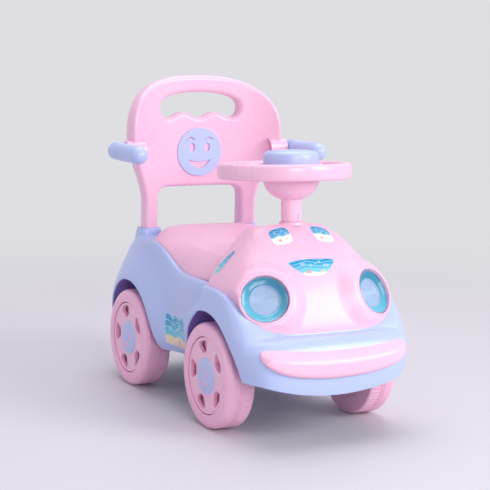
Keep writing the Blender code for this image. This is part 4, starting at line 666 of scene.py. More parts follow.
rims = []
bezel = rounded([(LAMP_RADIUS + 0.0042, -0.0002), (LAMP_RADIUS + 0.0030, 0.0013), (LAMP_RADIUS + 0.0006, 0.0015),
                 (LAMP_RADIUS, 0.0002), (LAMP_RADIUS, -LAMP_DEPTH - 0.0018)], 0.0008)
for side, word in SIDES:
    centre, axes = lamp_axes(side)
    rims.append(form(f"headlight_rim_{word}", [turned(bezel, 120, centre, axes)], pink_plastic, "car",
                     away=centre - axes[2] * 0.002))
LEAN_SIN, LEAN_COS = math.sin(math.radians(3.5)), math.cos(math.radians(3.5))
COLUMN_AXES = np.array([[1.0, 0.0, 0.0], [0.0, LEAN_COS, -LEAN_SIN], [0.0, LEAN_SIN, LEAN_COS]])
COLUMN = np.array([0.0, -0.1222, HOOD_TOP_Z])
collar = rounded([(0.0190, -0.004), (0.0178, 0.0), (0.0172, 0.0012), (0.0095, 0.0012)], 0.0006)
rims.append(form("column_collar", [turned(collar, 72, COLUMN, COLUMN_AXES)], pink_plastic, "car",
                 away=COLUMN - [0.0, 0.0, 0.01]))
rest_of("hood_inside", "hood", [hood_cover, *rims], pink_plastic, "car", 0.0045)


# The headlights.
# On each side a glossy teal cup, painted pale in the middle, is clipped in from behind, and a clear
# domed lens with fine rings snaps over it.

def lamp_cup_finish():
    """Teal with painted shade: darker towards the top and towards the car's left side, paler below; with a pale ringed
    middle.
    """
    finish = Finish("teal_reflector", (0.05, 0.47, 0.62), 0.22, Coat_Weight=0.15, Coat_Roughness=0.06)
    u, v, _ = finish.axes("UV")
    radius = distance(u, v)
    rings = ((radius * 95.0).sine() * 0.5) + 0.5
    # Painted shade: the teal darkens towards the top of the cup and towards the car's left side.
    teal = finish.blend((v + (u * 0.35)).step(-0.9, 0.8), (0.10, 0.50, 0.66), (0.002, 0.22, 0.38))
    ringed = finish.blend(rings * 0.45, (0.34, 0.47, 0.70), (0.50, 0.62, 0.80))
    finish.set("Base Color", finish.blend(radius.step(0.60, 0.68), ringed, teal))
    finish.set("Roughness", (finish.noise(60.0) * 0.10) + 0.10)
    return finish.relief((rings * radius.step(0.70, 0.62), 0.0004), (finish.noise(500.0), 0.00004))


def lens_finish():
    """Clear moulded plastic: faint blue, with rings and a slight haze towards the rim."""
    finish = Finish("clear_lens", (0.45, 0.80, 0.93), 0.05, Coat_Weight=1.0, Coat_Roughness=0.03)
    u, v, _ = finish.axes("UV")
    radius = distance(u, v)
    rings = ((radius * 62.0).sine() * 0.5) + 0.5
    finish.set("Alpha", (radius.step(0.80, 1.0) * 0.10) + (rings * 0.03) + 0.02)
    finish.set("Roughness", (finish.noise(90.0) * 0.05) + 0.03)
    return finish.relief((rings, 0.00035), (finish.noise(700.0), 0.00003))


def round_map(piece, centre, axes, radius):
    """A UV map with the piece's centre at 0 and its rim at 1."""
    mesh = piece.data
    place, corner = np.zeros(len(mesh.vertices) * 3), np.zeros(len(mesh.loops), int)
    mesh.vertices.foreach_get("co", place)
    mesh.loops.foreach_get("vertex_index", corner)
    local = (place.reshape(-1, 3) - centre) @ axes.T / radius
    mesh.uv_layers.new(name="UVMap").data.foreach_set("uv", local[corner, :2].ravel())


SEATED_RADIUS = LAMP_RADIUS - SEAT_GAP
bowl = rounded([(0.0, -LAMP_DEPTH + 0.0006), (0.020, -LAMP_DEPTH), (0.0215, -LAMP_DEPTH + 0.0024),
                (0.0235, -LAMP_DEPTH + 0.002), (0.030, -0.0052), (SEATED_RADIUS - 0.0006, -0.0032),
                (SEATED_RADIUS, -0.0034), (SEATED_RADIUS, -LAMP_DEPTH - 0.0015), (0.0, -LAMP_DEPTH - 0.0015)], 0.0012)
dome_r = np.linspace(0.0, SEATED_RADIUS - 0.0008, 40)
dome = places(dome_r, 0.0042 - 0.0054 * (dome_r / SEATED_RADIUS) ** 2)
glass = np.concatenate([dome, [(SEATED_RADIUS, -0.0016), (SEATED_RADIUS, -0.0026)], dome[::-1] - [0.0, 0.0012]])
cup_finish, clear = lamp_cup_finish(), lens_finish()
for side, word in SIDES:
    centre, axes = lamp_axes(side)
    for name, profile, finish, slot, node in (("bowl", bowl, cup_finish, "reflector", "cup"),
                                              ("glass", glass, clear, "lens", "lens")):
        piece = form(f"headlight_{name}_{word}", [turned(profile, 96, centre, axes)], finish, "car",
                     (f"headlight_{node}_{word}",), closed=True)
        round_map(piece, centre, axes, LAMP_RADIUS)


# The stickers.
# Thin printed films rubbed onto the hood and onto the sides between the wheels: a shallow sea with
# waves, bubbles and starfish, in teal, white and sand.

FILM_STAND = 0.00018


def film(name, outline, centre, plane, beyond, host, finish):
    """A sticker: rings of its outline shrunk towards its middle, laid in a plane and dropped onto
    its host along one axis. Its UV is the place in the outline's own box, from -1 to 1."""
    closed = np.concatenate([outline, outline[:1]])
    even, whole = even_share(closed, 161)[:-1], np.linspace(0.0, 1.0, len(closed))
    outline = places(*(np.interp(even, whole, closed[:, k]) for k in (0, 1)))
    rings = np.linspace(0.0, 1.0, 15)[:, None, None] * outline
    third = 3 - sum(plane)
    sheet = np.full(rings.shape[:2] + (3,), beyond)
    sheet[..., plane] = rings + centre
    mesh = bpy.data.meshes.new(name)
    mesh.from_pydata(sheet.reshape(-1, 3).tolist(), [], quads(*sheet.shape[:2], True).tolist())
    corner = np.zeros(len(mesh.loops), int)
    mesh.loops.foreach_get("vertex_index", corner)
    flat = rings.reshape(-1, 2) / np.abs(outline).max(0)
    mesh.uv_layers.new(name="UVMap").data.foreach_set("uv", flat[corner].ravel())
    loose = put(name + "_loose", mesh)
    drop = loose.modifiers.new("drop", "SHRINKWRAP")
    drop.wrap_method, drop.wrap_mode, drop.target, drop.offset = "PROJECT", "ABOVE_SURFACE", host, FILM_STAND
    drop.use_positive_direction = drop.use_negative_direction = True
    for k, word in enumerate("xyz"):
        setattr(drop, f"use_project_{word}", k == third)
    laid = bpy.data.meshes.new_from_object(loose.evaluated_get(bpy.context.evaluated_depsgraph_get()))
    bpy.data.objects.remove(loose)
    bm = bmesh.new()
    bm.from_mesh(laid)
    bm.normal_update()
    if sum(face.normal[third] for face in bm.faces) * beyond < 0.0:
        bmesh.ops.reverse_faces(bm, faces=bm.faces)
    bm.to_mesh(laid)
    bm.free()
    return settle(name, laid, finish, "car")


BUBBLES = ((-0.42, 0.38, 0.11), (0.30, 0.50, 0.08), (0.56, 0.10, 0.13), (-0.10, 0.12, 0.07), (0.12, 0.26, 0.05))
STARS = ((-0.25, -0.55, 0.20, (0.86, 0.30, 0.20)), (0.38, -0.48, 0.15, (0.95, 0.62, 0.12)))


def sea_print(name, shore, tilt=0.0, snowy=True):
    """Teal water that pales towards the shore, wave lines, bubbles and five-armed stars. The shore is
    white or sandy."""
    finish = Finish(name, (0.1, 0.6, 0.75), 0.22, Coat_Weight=0.3, Coat_Roughness=0.06)
    u, v, _ = finish.axes("UV")
    height = v + (u * tilt) + ((u * 6.0).sine() * 0.06) + (finish.noise(40.0, 2.0) * 0.10) - 0.05
    water = finish.blend(height.step(-0.9, 0.7), (0.22, 0.68, 0.80), (0.006, 0.33, 0.60))
    crest = ((height * 16.0) + (u * 5.0).sine()).sine().step(0.80, 0.97) * height.step(shore, shore + 0.5)
    water = finish.blend(crest * 0.55, water, (0.62, 0.90, 0.95))
    for cx, cy, r in BUBBLES:
        far = distance(u - cx, (v - cy) * 0.9)
        water = finish.blend(far.step(r, r - 0.03) * far.step(r - 0.06, r - 0.03) * 0.85, water, (0.85, 0.97, 1.0))
    ground = (0.90, 0.93, 0.96)
    if not snowy:
        ground = finish.blend(finish.noise(700.0), (0.72, 0.58, 0.38), (0.90, 0.80, 0.62))
    sea = finish.blend(height.step(shore, shore - 0.10), water, ground)
    for cx, cy, size, colour in STARS:
        dx, dy = u - cx, v - cy
        arms = (finish.node("ShaderNodeMath", {"operation": "ARCTAN2"}, {0: dy, 1: dx}) * 5.0).sine()
        sea = finish.blend((((arms * 0.32) + 0.68) * size - distance(dx, dy)).step(0.0, 0.02), sea, colour)
    border = u.size().higher(v.size()).step(0.90, 0.95)
    finish.set("Base Color", finish.blend(border * 0.35, sea, (0.80, 0.92, 0.96)))
    finish.set("Roughness", (finish.noise(120.0) * 0.12) + 0.16)
    return finish.relief((finish.noise(600.0), 0.00003))


t = np.linspace(0.0, 4.0 * QUARTER, 73)[:-1]
disc = places(0.0160 * signed_power(np.cos(t), 0.62), 0.0140 * signed_power(np.sin(t), 0.62))
leaf = places(0.0065 * np.cos(t) * (1.0 - 0.35 * np.sin(t)), 0.0185 * np.sin(t)) @ [[0.94, 0.34], [-0.34, 0.94]]
wedge = rounded([(0.0, 0.0075), (-0.030, 0.0078), (-0.0400, 0.0068), (-0.028, -0.0015), (-0.015, -0.0078),
                 (0.0, -0.0090), (0.015, -0.0078), (0.028, -0.0015), (0.0400, 0.0068), (0.030, 0.0078),
                 (0.0, 0.0075)], 0.0035, 7)[:-1]
s = np.linspace(-1.0, 1.0, 41)
banner = np.concatenate([places(0.0320 * s, 0.0225 + 0.0035 * np.cos(2.6 * math.pi * s)),
                         places(0.0320 * s[::-1], -0.0245 + 0.002 * s[::-1] ** 2)])
banner = rounded(np.concatenate([banner, banner[:1]]), 0.002, 3)[:-1]
FROM_ABOVE, FROM_THE_SIDE = (0, 1), (1, 2)
round_print = sea_print("round_sticker_print", -0.05)
for side, word in SIDES:
    film(f"round_sticker_{word}", disc * [side, 1.0], (side * 0.0345, -0.1525), FROM_ABOVE, 0.5, hood_cover,
         round_print)
film("screen_sticker", wedge, (-0.0030, -0.1950), FROM_ABOVE, 0.5, hood_cover,
     sea_print("screen_sticker_print", -0.55))
flank_print = sea_print("flank_sticker_print", -0.75, 0.3)
side_print = sea_print("side_sticker_print", -0.30, 0.05, snowy=False)
for side, word in SIDES:
    film(f"flank_sticker_{word}", leaf, (-0.1195, 0.2400), FROM_THE_SIDE, side * 0.3, hood_cover, flank_print)
    film(f"side_sticker_{word}", banner, (0.0040, 0.1150), FROM_THE_SIDE, side * 0.3, body_skin, side_print)


# The bumper.
# A smile-shaped bar of the pink plastic, deeper in the middle, that follows the nose and is held by
# two pegs through it.

BAR_HALF_WIDTH, BAR_END_Z, BAR_MIDDLE_Z, BAR_HALF, BAR_END_HALF = 0.118, 0.1315, 0.1135, 0.0190, 0.0125
BAR_PROUD, BAR_SINK = 0.0086, 0.004


def skin_at(turn, height):
    """Point of the skin at a height, found by stepping the share of the height."""
    share = np.full_like(turn, 0.4)
    for _ in range(14):
        at = skin(turn, share)
        share = np.clip(share + (height - at[..., 2]) / (seam_height(at[..., 1]) - SILL_HEIGHT), 0.0, 1.0)
    return skin(turn, share)


fine = np.linspace(-QUARTER, 0.0, 2001)
last = fine[np.searchsorted(skin_at(fine, BAR_END_Z)[:, 0], BAR_HALF_WIDTH)]
share = np.linspace(0.0, 1.0, 90)[:, None]
ends = np.sqrt(np.clip(1.0 - share ** 8, 0.0, 1.0))
c, s = rounded([(0.0, -1.0), (0.50, -0.98), (0.92, -0.72), (1.0, 0.16), (0.86, 0.36), (0.30, 0.92), (0.0, 1.0),
                (-1.0, 0.8), (-1.0, -0.8), (0.0, -1.0)], 0.24, 6)[:-1].T
turn = np.repeat(-QUARTER + (last + QUARTER) * outline_share(-QUARTER, last, 90)[:, None], len(c), axis=1)
tall = (BAR_HALF - (BAR_HALF - BAR_END_HALF) * share ** 2) * np.maximum(ends, 0.02)
height = BAR_MIDDLE_Z + (BAR_END_Z - BAR_MIDDLE_Z) * share ** 2 + tall * s
at = skin_at(turn, height)
along = skin_at(turn + NUDGE, height) - at
normal = unit(places(along[..., 1], -along[..., 0], 0.0))
normal[0] = (0.0, -1.0, 0.0)
out = np.where(c > 0.0, BAR_PROUD * np.maximum(ends, 0.02) * c, BAR_SINK * c * np.maximum(ends, 0.1))
bar = at + normal * out[..., None]
bar[0, :, 0] = 0.0
bar = np.concatenate([bar[:0:-1] * [-1.0, 1.0, 1.0], bar])
tips = [np.repeat(bar[k].mean(0)[None, None], bar.shape[1], axis=1) for k in (0, -1)]
form("bumper_bar", [(np.concatenate([tips[0], bar, tips[1]]), True)], pink_plastic, "car", ("bumper",),
     closed=True)


# The seat.
# A hollow pink lid over the storage bin, hinged across its front edge. Fine ribs across its top keep
# a child from sliding.

SEAT_TOP_Z, SEAT_TOP_HALF, SEAT_RISE, SEAT_PITCH = 0.246, 0.088, 0.010, 1400.0
HINGE_EDGE_Y, HINGE_EDGE_Z = -0.0887, 0.2335


def seat_half(share, level, turn):
    """The lid between its foot in the seam and its flat top, both superellipses in plan."""
    c, s = np.maximum(np.cos(turn), 0.0), np.sin(turn)
    power = 2.0 / np.where(s < 0.0, 9.0, 4.0)
    unit_x, unit_y = np.where(c < 1e-12, 0.0, c) ** power, signed_power(s, power)
    forth, back = SEAT_MIDDLE_Y - SEAT_FRONT_Y, SEAT_BACK_Y - SEAT_MIDDLE_Y
    foot_y = SEAT_MIDDLE_Y + unit_y * np.where(s < 0.0, forth, back)
    foot_x = unit_x * (waist(foot_y) - LEDGE - SEAM_GAP)
    top_y = SEAT_MIDDLE_Y + unit_y * np.where(s < 0.0, forth - 0.004, back - 0.008)
    top_z = SEAT_TOP_Z + SEAT_RISE * smooth((top_y - SEAT_MIDDLE_Y - 0.055) / 0.07)
    return places(foot_x + (unit_x * SEAT_TOP_HALF - foot_x) * share, foot_y + (top_y - foot_y) * share,
                  seam_height(foot_y) + (top_z - seam_height(foot_y)) * level)


line = seat_half(0.3, 0.3, np.linspace(-QUARTER, QUARTER, 20001))
turn = QUARTER * (2.0 * even_share(line[:, :2], 240) - 1.0)
share = 1.0 - np.cos(np.linspace(0.0, QUARTER, 40)[:, None]) ** 1.2
rows = seat_half(share, (1.0 - (1.0 - share) ** 1.5) ** (1.0 / 1.5), turn)
foot = rows[0] - [[[0.0, 0.0, depth]] for depth in (POCKET_DEPTH - SEAT_GAP, 0.003)]
rows = np.concatenate([foot, rows, to_the_middle(rows[-1], 20)])
rows[..., 2] = np.where(rows[..., 1] < HINGE_EDGE_Y, np.maximum(rows[..., 2], HINGE_EDGE_Z), rows[..., 2])

seat_plastic = moulded("pink_seat_plastic", PINK, PALER_PINK, 0.30)
_, rib_y, rib_z = seat_plastic.axes()
ribs = ((rib_y * SEAT_PITCH).sine() * 0.5 + 0.5) * rib_z.step(0.2395, 0.2435)
seat_plastic.relief((ribs, 0.00042), (seat_plastic.noise(20.0, 1.0), 0.0010), (seat_plastic.noise(900.0), 0.00006))
seat_cover = form("seat_cover", [both_sides(rows)], seat_plastic, "seat", away=(0.0, 0.04, 0.18))
rest_of("seat_inside", "seat_lid", [seat_cover], pink_plastic, "seat", 0.004)


# The steering wheel.
# A pink ring with two fine grooves on each side, set off towards the rider from a bowl-shaped hub on
# a round neck; four spokes join them. It is clipped to a steel shaft that turns in two bushes.

RING_LOW, RING_HIGH, RING_RADIUS, RING_WIDTH, RING_OFFSET = 0.063, 0.087, 0.100, 0.017, 0.021
RING_MIDDLE, RING_CORE = 0.5 * (RING_LOW + RING_HIGH), RING_RADIUS - 0.5 * RING_WIDTH
GROOVE_ANGLES, GROOVE_DEPTH = (58.0, 74.0), 0.07
NECK_RADIUS, BOWL_GROWTH, DISC_RADIUS = 0.0151, 0.0265, 0.0470
SPOKE_START, SPOKE_HALF, SPOKE_HALF_HEIGHT = 0.040, 0.011, 0.0075
HORN_RADIUS, HORN_WALL = 0.0414, 0.003


def on_column(sheet):
    """Places points, given from the column's foot, on the leaning column."""
    return sheet @ COLUMN_AXES + COLUMN


ring_plastic = moulded("pink_ring_plastic", PINK, PALER_PINK, 0.22)
spin = np.linspace(0.0, 4.0 * QUARTER, 361)[:-1, None]
corner = np.linspace(0.0, 4.0 * QUARTER, 48, endpoint=False)
side_angle = np.degrees(np.abs(np.arctan2(np.cos(spin), -np.sin(spin))))
slim = 1.0 - GROOVE_DEPTH * sum(np.exp(-((side_angle - place) / 0.8) ** 2) for place in GROOVE_ANGLES)
ring_r = RING_CORE + 0.5 * RING_WIDTH * signed_power(np.cos(corner), 0.62) * slim
ring_z = RING_MIDDLE + 0.5 * (RING_HIGH - RING_LOW) * signed_power(np.sin(corner), 0.55) * slim
ring = places(ring_r * np.cos(spin), ring_r * np.sin(spin) + RING_OFFSET, ring_z)
form("steering_ring", [(on_column(np.concatenate([ring, ring[:1]])), True)], ring_plastic, "steering",
     ("steering_wheel",), closed=True, angle=60.0)

bowl_t = np.linspace(0.0, QUARTER, 28)
bowl = places(NECK_RADIUS + BOWL_GROWTH * np.sin(bowl_t) ** 1.1, 0.034 + 0.029 * (1.0 - np.cos(bowl_t)) ** 0.85)
neck = rounded([(0.0135, 0.0015), (NECK_RADIUS, 0.0015), (NECK_RADIUS, 0.030)], 0.0005)
well = rounded([(0.0430, 0.0630), (DISC_RADIUS, 0.0665), (DISC_RADIUS, 0.0865), (0.0422, 0.0865), (0.0420, 0.0785),
                (0.010, 0.0785)], 0.0016)
form("steering_hub", [turned(np.concatenate([[(0.0066, 0.0016)], neck, bowl, well]), 96, COLUMN, COLUMN_AXES)],
     ring_plastic, "steering", away=COLUMN + [0.0, 0.0, 0.04])

t = np.linspace(0.0, 1.0, 30)[:, None]
a = np.linspace(0.0, 4.0 * QUARTER, 32, endpoint=False)
wide = SPOKE_HALF * signed_power(np.cos(a), 0.6) * np.minimum(1.0 + 0.9 * (2.0 * t - 1.0) ** 6, 1.5)
spokes = []
for heading, end in ((0.0, 0.0895), (math.pi, 0.0895), (QUARTER, 0.111), (-QUARTER, 0.069)):
    along = SPOKE_START + (end - SPOKE_START) * t
    spokes.append((on_column(places(along * math.cos(heading) - wide * math.sin(heading),
                                    along * math.sin(heading) + wide * math.cos(heading),
                                    RING_MIDDLE + SPOKE_HALF_HEIGHT * signed_power(np.sin(a), 0.6))), True))
form("steering_spokes", spokes, ring_plastic, "steering", closed=True)

# Painted shade: a dark sheet laid just outside the neck stands for the shade inside the slot; no slot is cut.
painted_slot_shade = Finish("painted_slot_shade", (0.28, 0.08, 0.17), 0.6)
painted_slot_shade.set("Base Color", painted_slot_shade.blend(painted_slot_shade.noise(300.0), (0.24, 0.07, 0.15), (0.33, 0.10, 0.20)))
slot_turn = math.radians(-78.0) + np.linspace(-0.030, 0.030, 5)
slot_sheet = places((NECK_RADIUS + 0.00008) * np.cos(slot_turn), (NECK_RADIUS + 0.00008) * np.sin(slot_turn),
                    np.linspace(0.003, 0.013, 8)[:, None])
form("neck_slot_painted_shade", [(on_column(slot_sheet), False)], painted_slot_shade, "steering", away=COLUMN)

pad = rounded([(0.0, 0.107), (0.020, 0.1066), (0.0345, 0.1050), (0.0405, 0.1010), (HORN_RADIUS, 0.0955),
               (HORN_RADIUS, 0.0822), (HORN_RADIUS - HORN_WALL, 0.0822), (0.0374, 0.0985), (0.006, 0.1025),
               (0.006, 0.0985), (0.0, 0.0985)], 0.0035, 7)
form("horn_button", [turned(pad, 96, COLUMN, COLUMN_AXES)], blue_plastic, "horn", ("horn_pad",), closed=True)


# The back.
# One blow-moulded pink plate, wrapped forwards at its wings, with an arched hand hole whose lower
# edge is wavy for the fingers, and two posts that plug into the shell's towers.

def plate(outlines, profile, move, cuts=()):
    """A plate with holes: (inset, depth) steps are carried round its outline and round its holes, and
    the first and last rings are filled. Its points (u, v, depth) go to where move puts them."""
    inset, depth = np.array(profile).T[..., None]
    flats, faces, start = [], [], 0
    for number, outline in enumerate(outlines):
        back, forth = outline - np.roll(outline, 1, axis=0), np.roll(outline, -1, axis=0) - outline
        area = np.sum(outline[:, 0] * np.roll(outline[:, 1], -1) - np.roll(outline[:, 0], -1) * outline[:, 1])
        n1, n2 = (unit(places(-edge[:, 1], edge[:, 0])) for edge in (back, forth))
        normal = (n1 + n2) / np.maximum(1.0 + np.sum(n1 * n2, axis=1), 0.4)[:, None]
        inside = normal * (1.0 if (area > 0.0) == (number == 0) else -1.0)
        ring = outline + inside * inset[..., None]
        flats.append(places(ring[..., 0], ring[..., 1], depth).reshape(-1, 3))
        faces.append(quads(len(profile), len(outline), True) + start)
        start += len(flats[-1])
    mesh = bpy.data.meshes.new("plate")
    mesh.from_pydata(np.concatenate(flats).tolist(), [], np.concatenate(faces).tolist())
    bm = bmesh.new()
    bm.from_mesh(mesh)
    for end in (profile[0][1], profile[-1][1]):
        ring = [edge for edge in bm.edges if edge.is_boundary and abs(edge.verts[0].co.z - end) < 1e-6]
        bmesh.ops.triangle_fill(bm, use_beauty=True, use_dissolve=False, edges=ring)
    bmesh.ops.recalc_face_normals(bm, faces=bm.faces)
    for x in cuts:
        bmesh.ops.bisect_plane(bm, geom=bm.verts[:] + bm.edges[:] + bm.faces[:], dist=1e-6, plane_co=(x, 0.0, 0.0),
                               plane_no=(1.0, 0.0, 0.0))
    bm.to_mesh(mesh)
    bm.free()
    place = np.zeros(len(mesh.vertices) * 3)
    mesh.vertices.foreach_get("co", place)
    mesh.vertices.foreach_set("co", places(*move(*place.reshape(-1, 3).T)).ravel())
    return mesh


def round_over(inset, depth, count):
    """Steps of a rounded edge: (inset (1 - sin t), depth (1 - cos t))."""
    t = np.linspace(0.0, QUARTER, count)
    return places(inset * (1.0 - np.sin(t)), depth * (1.0 - np.cos(t))).tolist()


def across_axes(side):
    """Axes of a circle round a line that runs across the car, out to one side."""
    return np.array([[0.0, 1.0, 0.0], [0.0, 0.0, 1.0], [side, 0.0, 0.0]])


BACK_RISE_Z, BACK_TOP_Z, POST_OUT_X, POST_IN_X, GAP_TOP_Z, GAP_CORNER = 0.400, 0.497, 0.101, 0.074, 0.315, 0.016
HOLE_Z, HOLE_HALF, HOLE_WAVE_HALF, HOLE_WAVE_Z = 0.445, 0.071, 0.0575, 0.4325
BOSS_Y, BOSS_Z = 0.1648, 0.379
post_foot = SOCKET_TOP_Z - 0.007
rise_z = np.linspace(0.285, 0.398, 26)
t = np.linspace(0.0, QUARTER, 48)
right = np.concatenate([[(POST_OUT_X, z) for z in (post_foot, 0.262, 0.275)],
                        places(POST_OUT_X + (WING_X - POST_OUT_X) * smooth((rise_z - 0.290) / 0.110), rise_z),
                        places(WING_X * np.cos(t) ** (2.0 / 2.6),
                               BACK_RISE_Z + (BACK_TOP_Z - BACK_RISE_Z) * np.sin(t) ** (2.0 / 2.6))])
right[-1, 0] = 0.0
t = np.linspace(math.pi, QUARTER, 12)
gap = np.concatenate([[(-POST_IN_X, z) for z in (post_foot, 0.262, 0.28)],
                      places(GAP_CORNER - POST_IN_X + GAP_CORNER * np.cos(t),
                             GAP_TOP_Z - GAP_CORNER + GAP_CORNER * np.sin(t)),
                      places(np.linspace(-0.050, 0.0, 6), GAP_TOP_Z)])
back_line = np.concatenate([right, right[-2::-1] * [-1.0, 1.0], gap, gap[-2::-1] * [-1.0, 1.0]])
t = np.linspace(0.0, math.pi, 49)
arch = places(HOLE_HALF * np.cos(t), HOLE_Z + 0.025 * np.sin(t) ** 0.8)
t = np.linspace(0.0, QUARTER, 10)[1:]
left_end = places(-HOLE_WAVE_HALF - (HOLE_HALF - HOLE_WAVE_HALF) * np.cos(t), HOLE_Z - 0.0170 * np.sin(t))
wave_x = np.linspace(-HOLE_WAVE_HALF, HOLE_WAVE_HALF, 47)[1:-1]
wave = places(wave_x, HOLE_WAVE_Z - 0.0045 * np.cos(2.0 * math.pi * wave_x / HOLE_WAVE_HALF))
hand_hole = np.concatenate([arch, left_end, wave, left_end[::-1] * [-1.0, 1.0]])
steps = round_over(0.007, 0.008, 9)
profile = [(0.0085, 0.0), *steps, *((inset, PLATE_DEPTH - y) for inset, y in reversed(steps)), (0.0085, PLATE_DEPTH)]
back_plate = plate([back_line, hand_hole], profile,
                   lambda x, z, deep: (x, back_front(x) + deep / PLATE_DEPTH * back_depth(x),
                                       np.maximum(z, SOCKET_TOP_Z + SEAT_GAP)), np.linspace(-0.13, 0.13, 53))
back_plastic = moulded("pink_back_plastic", PINK, PALER_PINK, 0.27, 0.00002)
settle("back_plate", back_plate, back_plastic, "car", ("backrest",), closed=True, angle=50.0)
boss = rounded([(0.0155, 0.112), (0.0155, 0.1440), (0.0100, 0.1446), (0.0096, 0.140)], 0.0030, 8)
for side, word in SIDES:
    form(f"handle_boss_{word}", [turned(boss, 64, np.array([0.0, BOSS_Y, BOSS_Z]), across_axes(side))], back_plastic,
         "car", away=(side * 0.12, BOSS_Y, BOSS_Z))


# The face badge on the back.
# A flat blue disc with a plain smiling face pierced through it, pressed into a round recess, so that
# the pink of the back shows through.

def oval(cx, cz, wide, tall, count=40):
    """Ellipse outline."""
    t = np.linspace(0.0, 4.0 * QUARTER, count, endpoint=False)
    return places(cx + wide * np.cos(t), cz + tall * np.sin(t))


def sickle(cx, cz, half_width, depth, thick, count=25):
    """Crescent between two parabolas over the same chord."""
    s = np.linspace(-1.0, 1.0, count)
    low = places(cx + half_width * s, cz - depth * (1.0 - s * s))
    high = places(cx + half_width * s[::-1], cz - (depth - thick) * (1.0 - s * s))[1:-1]
    return np.concatenate([low, high])


def face_holes(r):
    """Eyes, mouth and brows as shares of the disc's radius."""
    holes = [oval(side * 0.34 * r, 0.18 * r, 0.125 * r, 0.18 * r) for side in (-1, 1)]
    holes.append(sickle(0.0, -0.32 * r, 0.50 * r, 0.36 * r, 0.28 * r))
    return holes + [sickle(side * 0.42 * r, 0.47 * r, 0.21 * r, -0.14 * r, -0.065 * r, 13) for side in (-1, 1)]


BADGE_RADIUS, BADGE_FRONT_Y, BADGE_Z, BADGE_THICKNESS = 0.040, 0.192, 0.372, 0.0038
badge_disc = plate([oval(0.0, 0.0, BADGE_RADIUS, BADGE_RADIUS, 120), *face_holes(BADGE_RADIUS)],
                   [(0.0011, 0.0), *round_over(0.0007, 0.0007, 4), (0.0, BADGE_THICKNESS)],
                   lambda x, z, deep: (x, BADGE_FRONT_Y + deep, z + BADGE_Z))
badge_plastic = moulded("blue_badge_plastic", (0.47, 0.56, 0.86), (0.54, 0.62, 0.90), 0.34)
settle("badge_disc", badge_disc, badge_plastic, "car", ("face_badge",), closed=True)


# The handle bars.
# Two blue bars beside the seat, each on a stub that enters a boss of the back; grooves run round
# their rear half for grip.

HANDLE_X, HANDLE_RADIUS, HANDLE_FRONT_Y, HANDLE_BACK_Y, GRIP_GROOVE = 0.159, 0.014, 0.0628, 0.1788, 0.0011
LENGTHWISE = np.array([[1.0, 0.0, 0.0], [0.0, 0.0, 1.0], [0.0, 1.0, 0.0]])
t = np.linspace(0.0, QUARTER, 14)
bar_y = np.linspace(0.0775, 0.1640, 220)
grooves = sum(np.exp(-((bar_y - place) / 0.0010) ** 2) for place in (0.1060, 0.1180, 0.1300, 0.1365, 0.1430))
handle = np.concatenate([places(HANDLE_RADIUS * np.sin(t), HANDLE_FRONT_Y + HANDLE_RADIUS * (1.0 - np.cos(t))),
                         places(HANDLE_RADIUS - GRIP_GROOVE * grooves, bar_y),
                         places(HANDLE_RADIUS * np.cos(t), HANDLE_BACK_Y - HANDLE_RADIUS * (1.0 - np.sin(t)))])
stub = [(0.0, 0.1323), (0.009, 0.1323), (0.009, 0.152)]
for side, word in SIDES:
    form(f"handle_bar_{word}", [turned(handle, 64, np.array([side * HANDLE_X, 0.0, BOSS_Z]), LENGTHWISE),
                                turned(stub, 40, np.array([0.0, BOSS_Y, BOSS_Z]), across_axes(side))],
         blue_plastic, "car", (f"handle_{word}",), closed=True)


# The wheels.
# Each is a hollow pink tyre of hard plastic with two grooves and cross ribs on its inner half, a
# pressed-in rim with five windows, and a blue cap with a small face that hides the axle's end.

FACE_X, TYRE_RADIUS, RIM_RADIUS, CAP_RADIUS, INLAY_RADIUS = 0.141, 0.0775, 0.0566, 0.0271, 0.0235
WINDOW_RADIUS, WINDOW_HALF, WINDOWS, WINDOW_TURN = 0.0425, 0.0090, 5, math.radians(2.0)
CROSS_RIBS, CROSS_RIB_DEPTH, GROOVE_DIP, FACE_LEAN = 72.0, 0.0007, 0.0007, math.radians(14.0)


def spun(outline, angle):
    """An outline turned in its own plane."""
    c, s = math.cos(angle), math.sin(angle)
    return outline @ [[c, s], [-s, c]]


tyre_plastic = moulded("pink_tyre_plastic", (0.890, 0.480, 0.670), (0.93, 0.57, 0.73), 0.34)
cap_pink = moulded("pink_cap_inlay", (0.86, 0.42, 0.66), (0.92, 0.52, 0.72), 0.35)
inner_side = [(0.0145, 0.0972), (0.0200, 0.0970), (0.0215, 0.0982), (0.0300, 0.0982), (0.0315, 0.0970),
              (0.0420, 0.0970), (0.0435, 0.0984), (0.0520, 0.0984), (0.0535, 0.0970), (0.0600, 0.0975),
              (0.0690, 0.0972), (0.0760, 0.0985), (TYRE_RADIUS, 0.1015)]
grooves = [(TYRE_RADIUS - dip, x + offset) for x in (0.1175, 0.1215)
           for dip, offset in ((0.0, -0.0006), (GROOVE_DIP, -0.0002), (GROOVE_DIP, 0.0002), (0.0, 0.0006))]
t = np.linspace(0.0, QUARTER, 14)
outer_side = [(0.0610, FACE_X), (0.0580, FACE_X - 0.0002), (0.0572, FACE_X - 0.0010), (0.0570, FACE_X - 0.006),
              (0.0570, 0.1005), (0.0145, 0.1005)]
radius, across = np.concatenate([inner_side, places(TYRE_RADIUS, np.linspace(0.1020, 0.1160, 6)), grooves,
                                 places(0.0665 + 0.0110 * np.cos(t) ** 0.85, 0.1300 + 0.0108 * np.sin(t) ** 0.9),
                                 outer_side]).T[..., None]
spin = np.linspace(0.0, 4.0 * QUARTER, 433)[:-1]
on_ribs = (radius > 0.0770) * smooth((across - 0.1005) / 0.0015) * smooth((0.1168 - across) / 0.0012)
radius = radius - on_ribs * CROSS_RIB_DEPTH * (np.sin(spin * CROSS_RIBS) > 0.35)

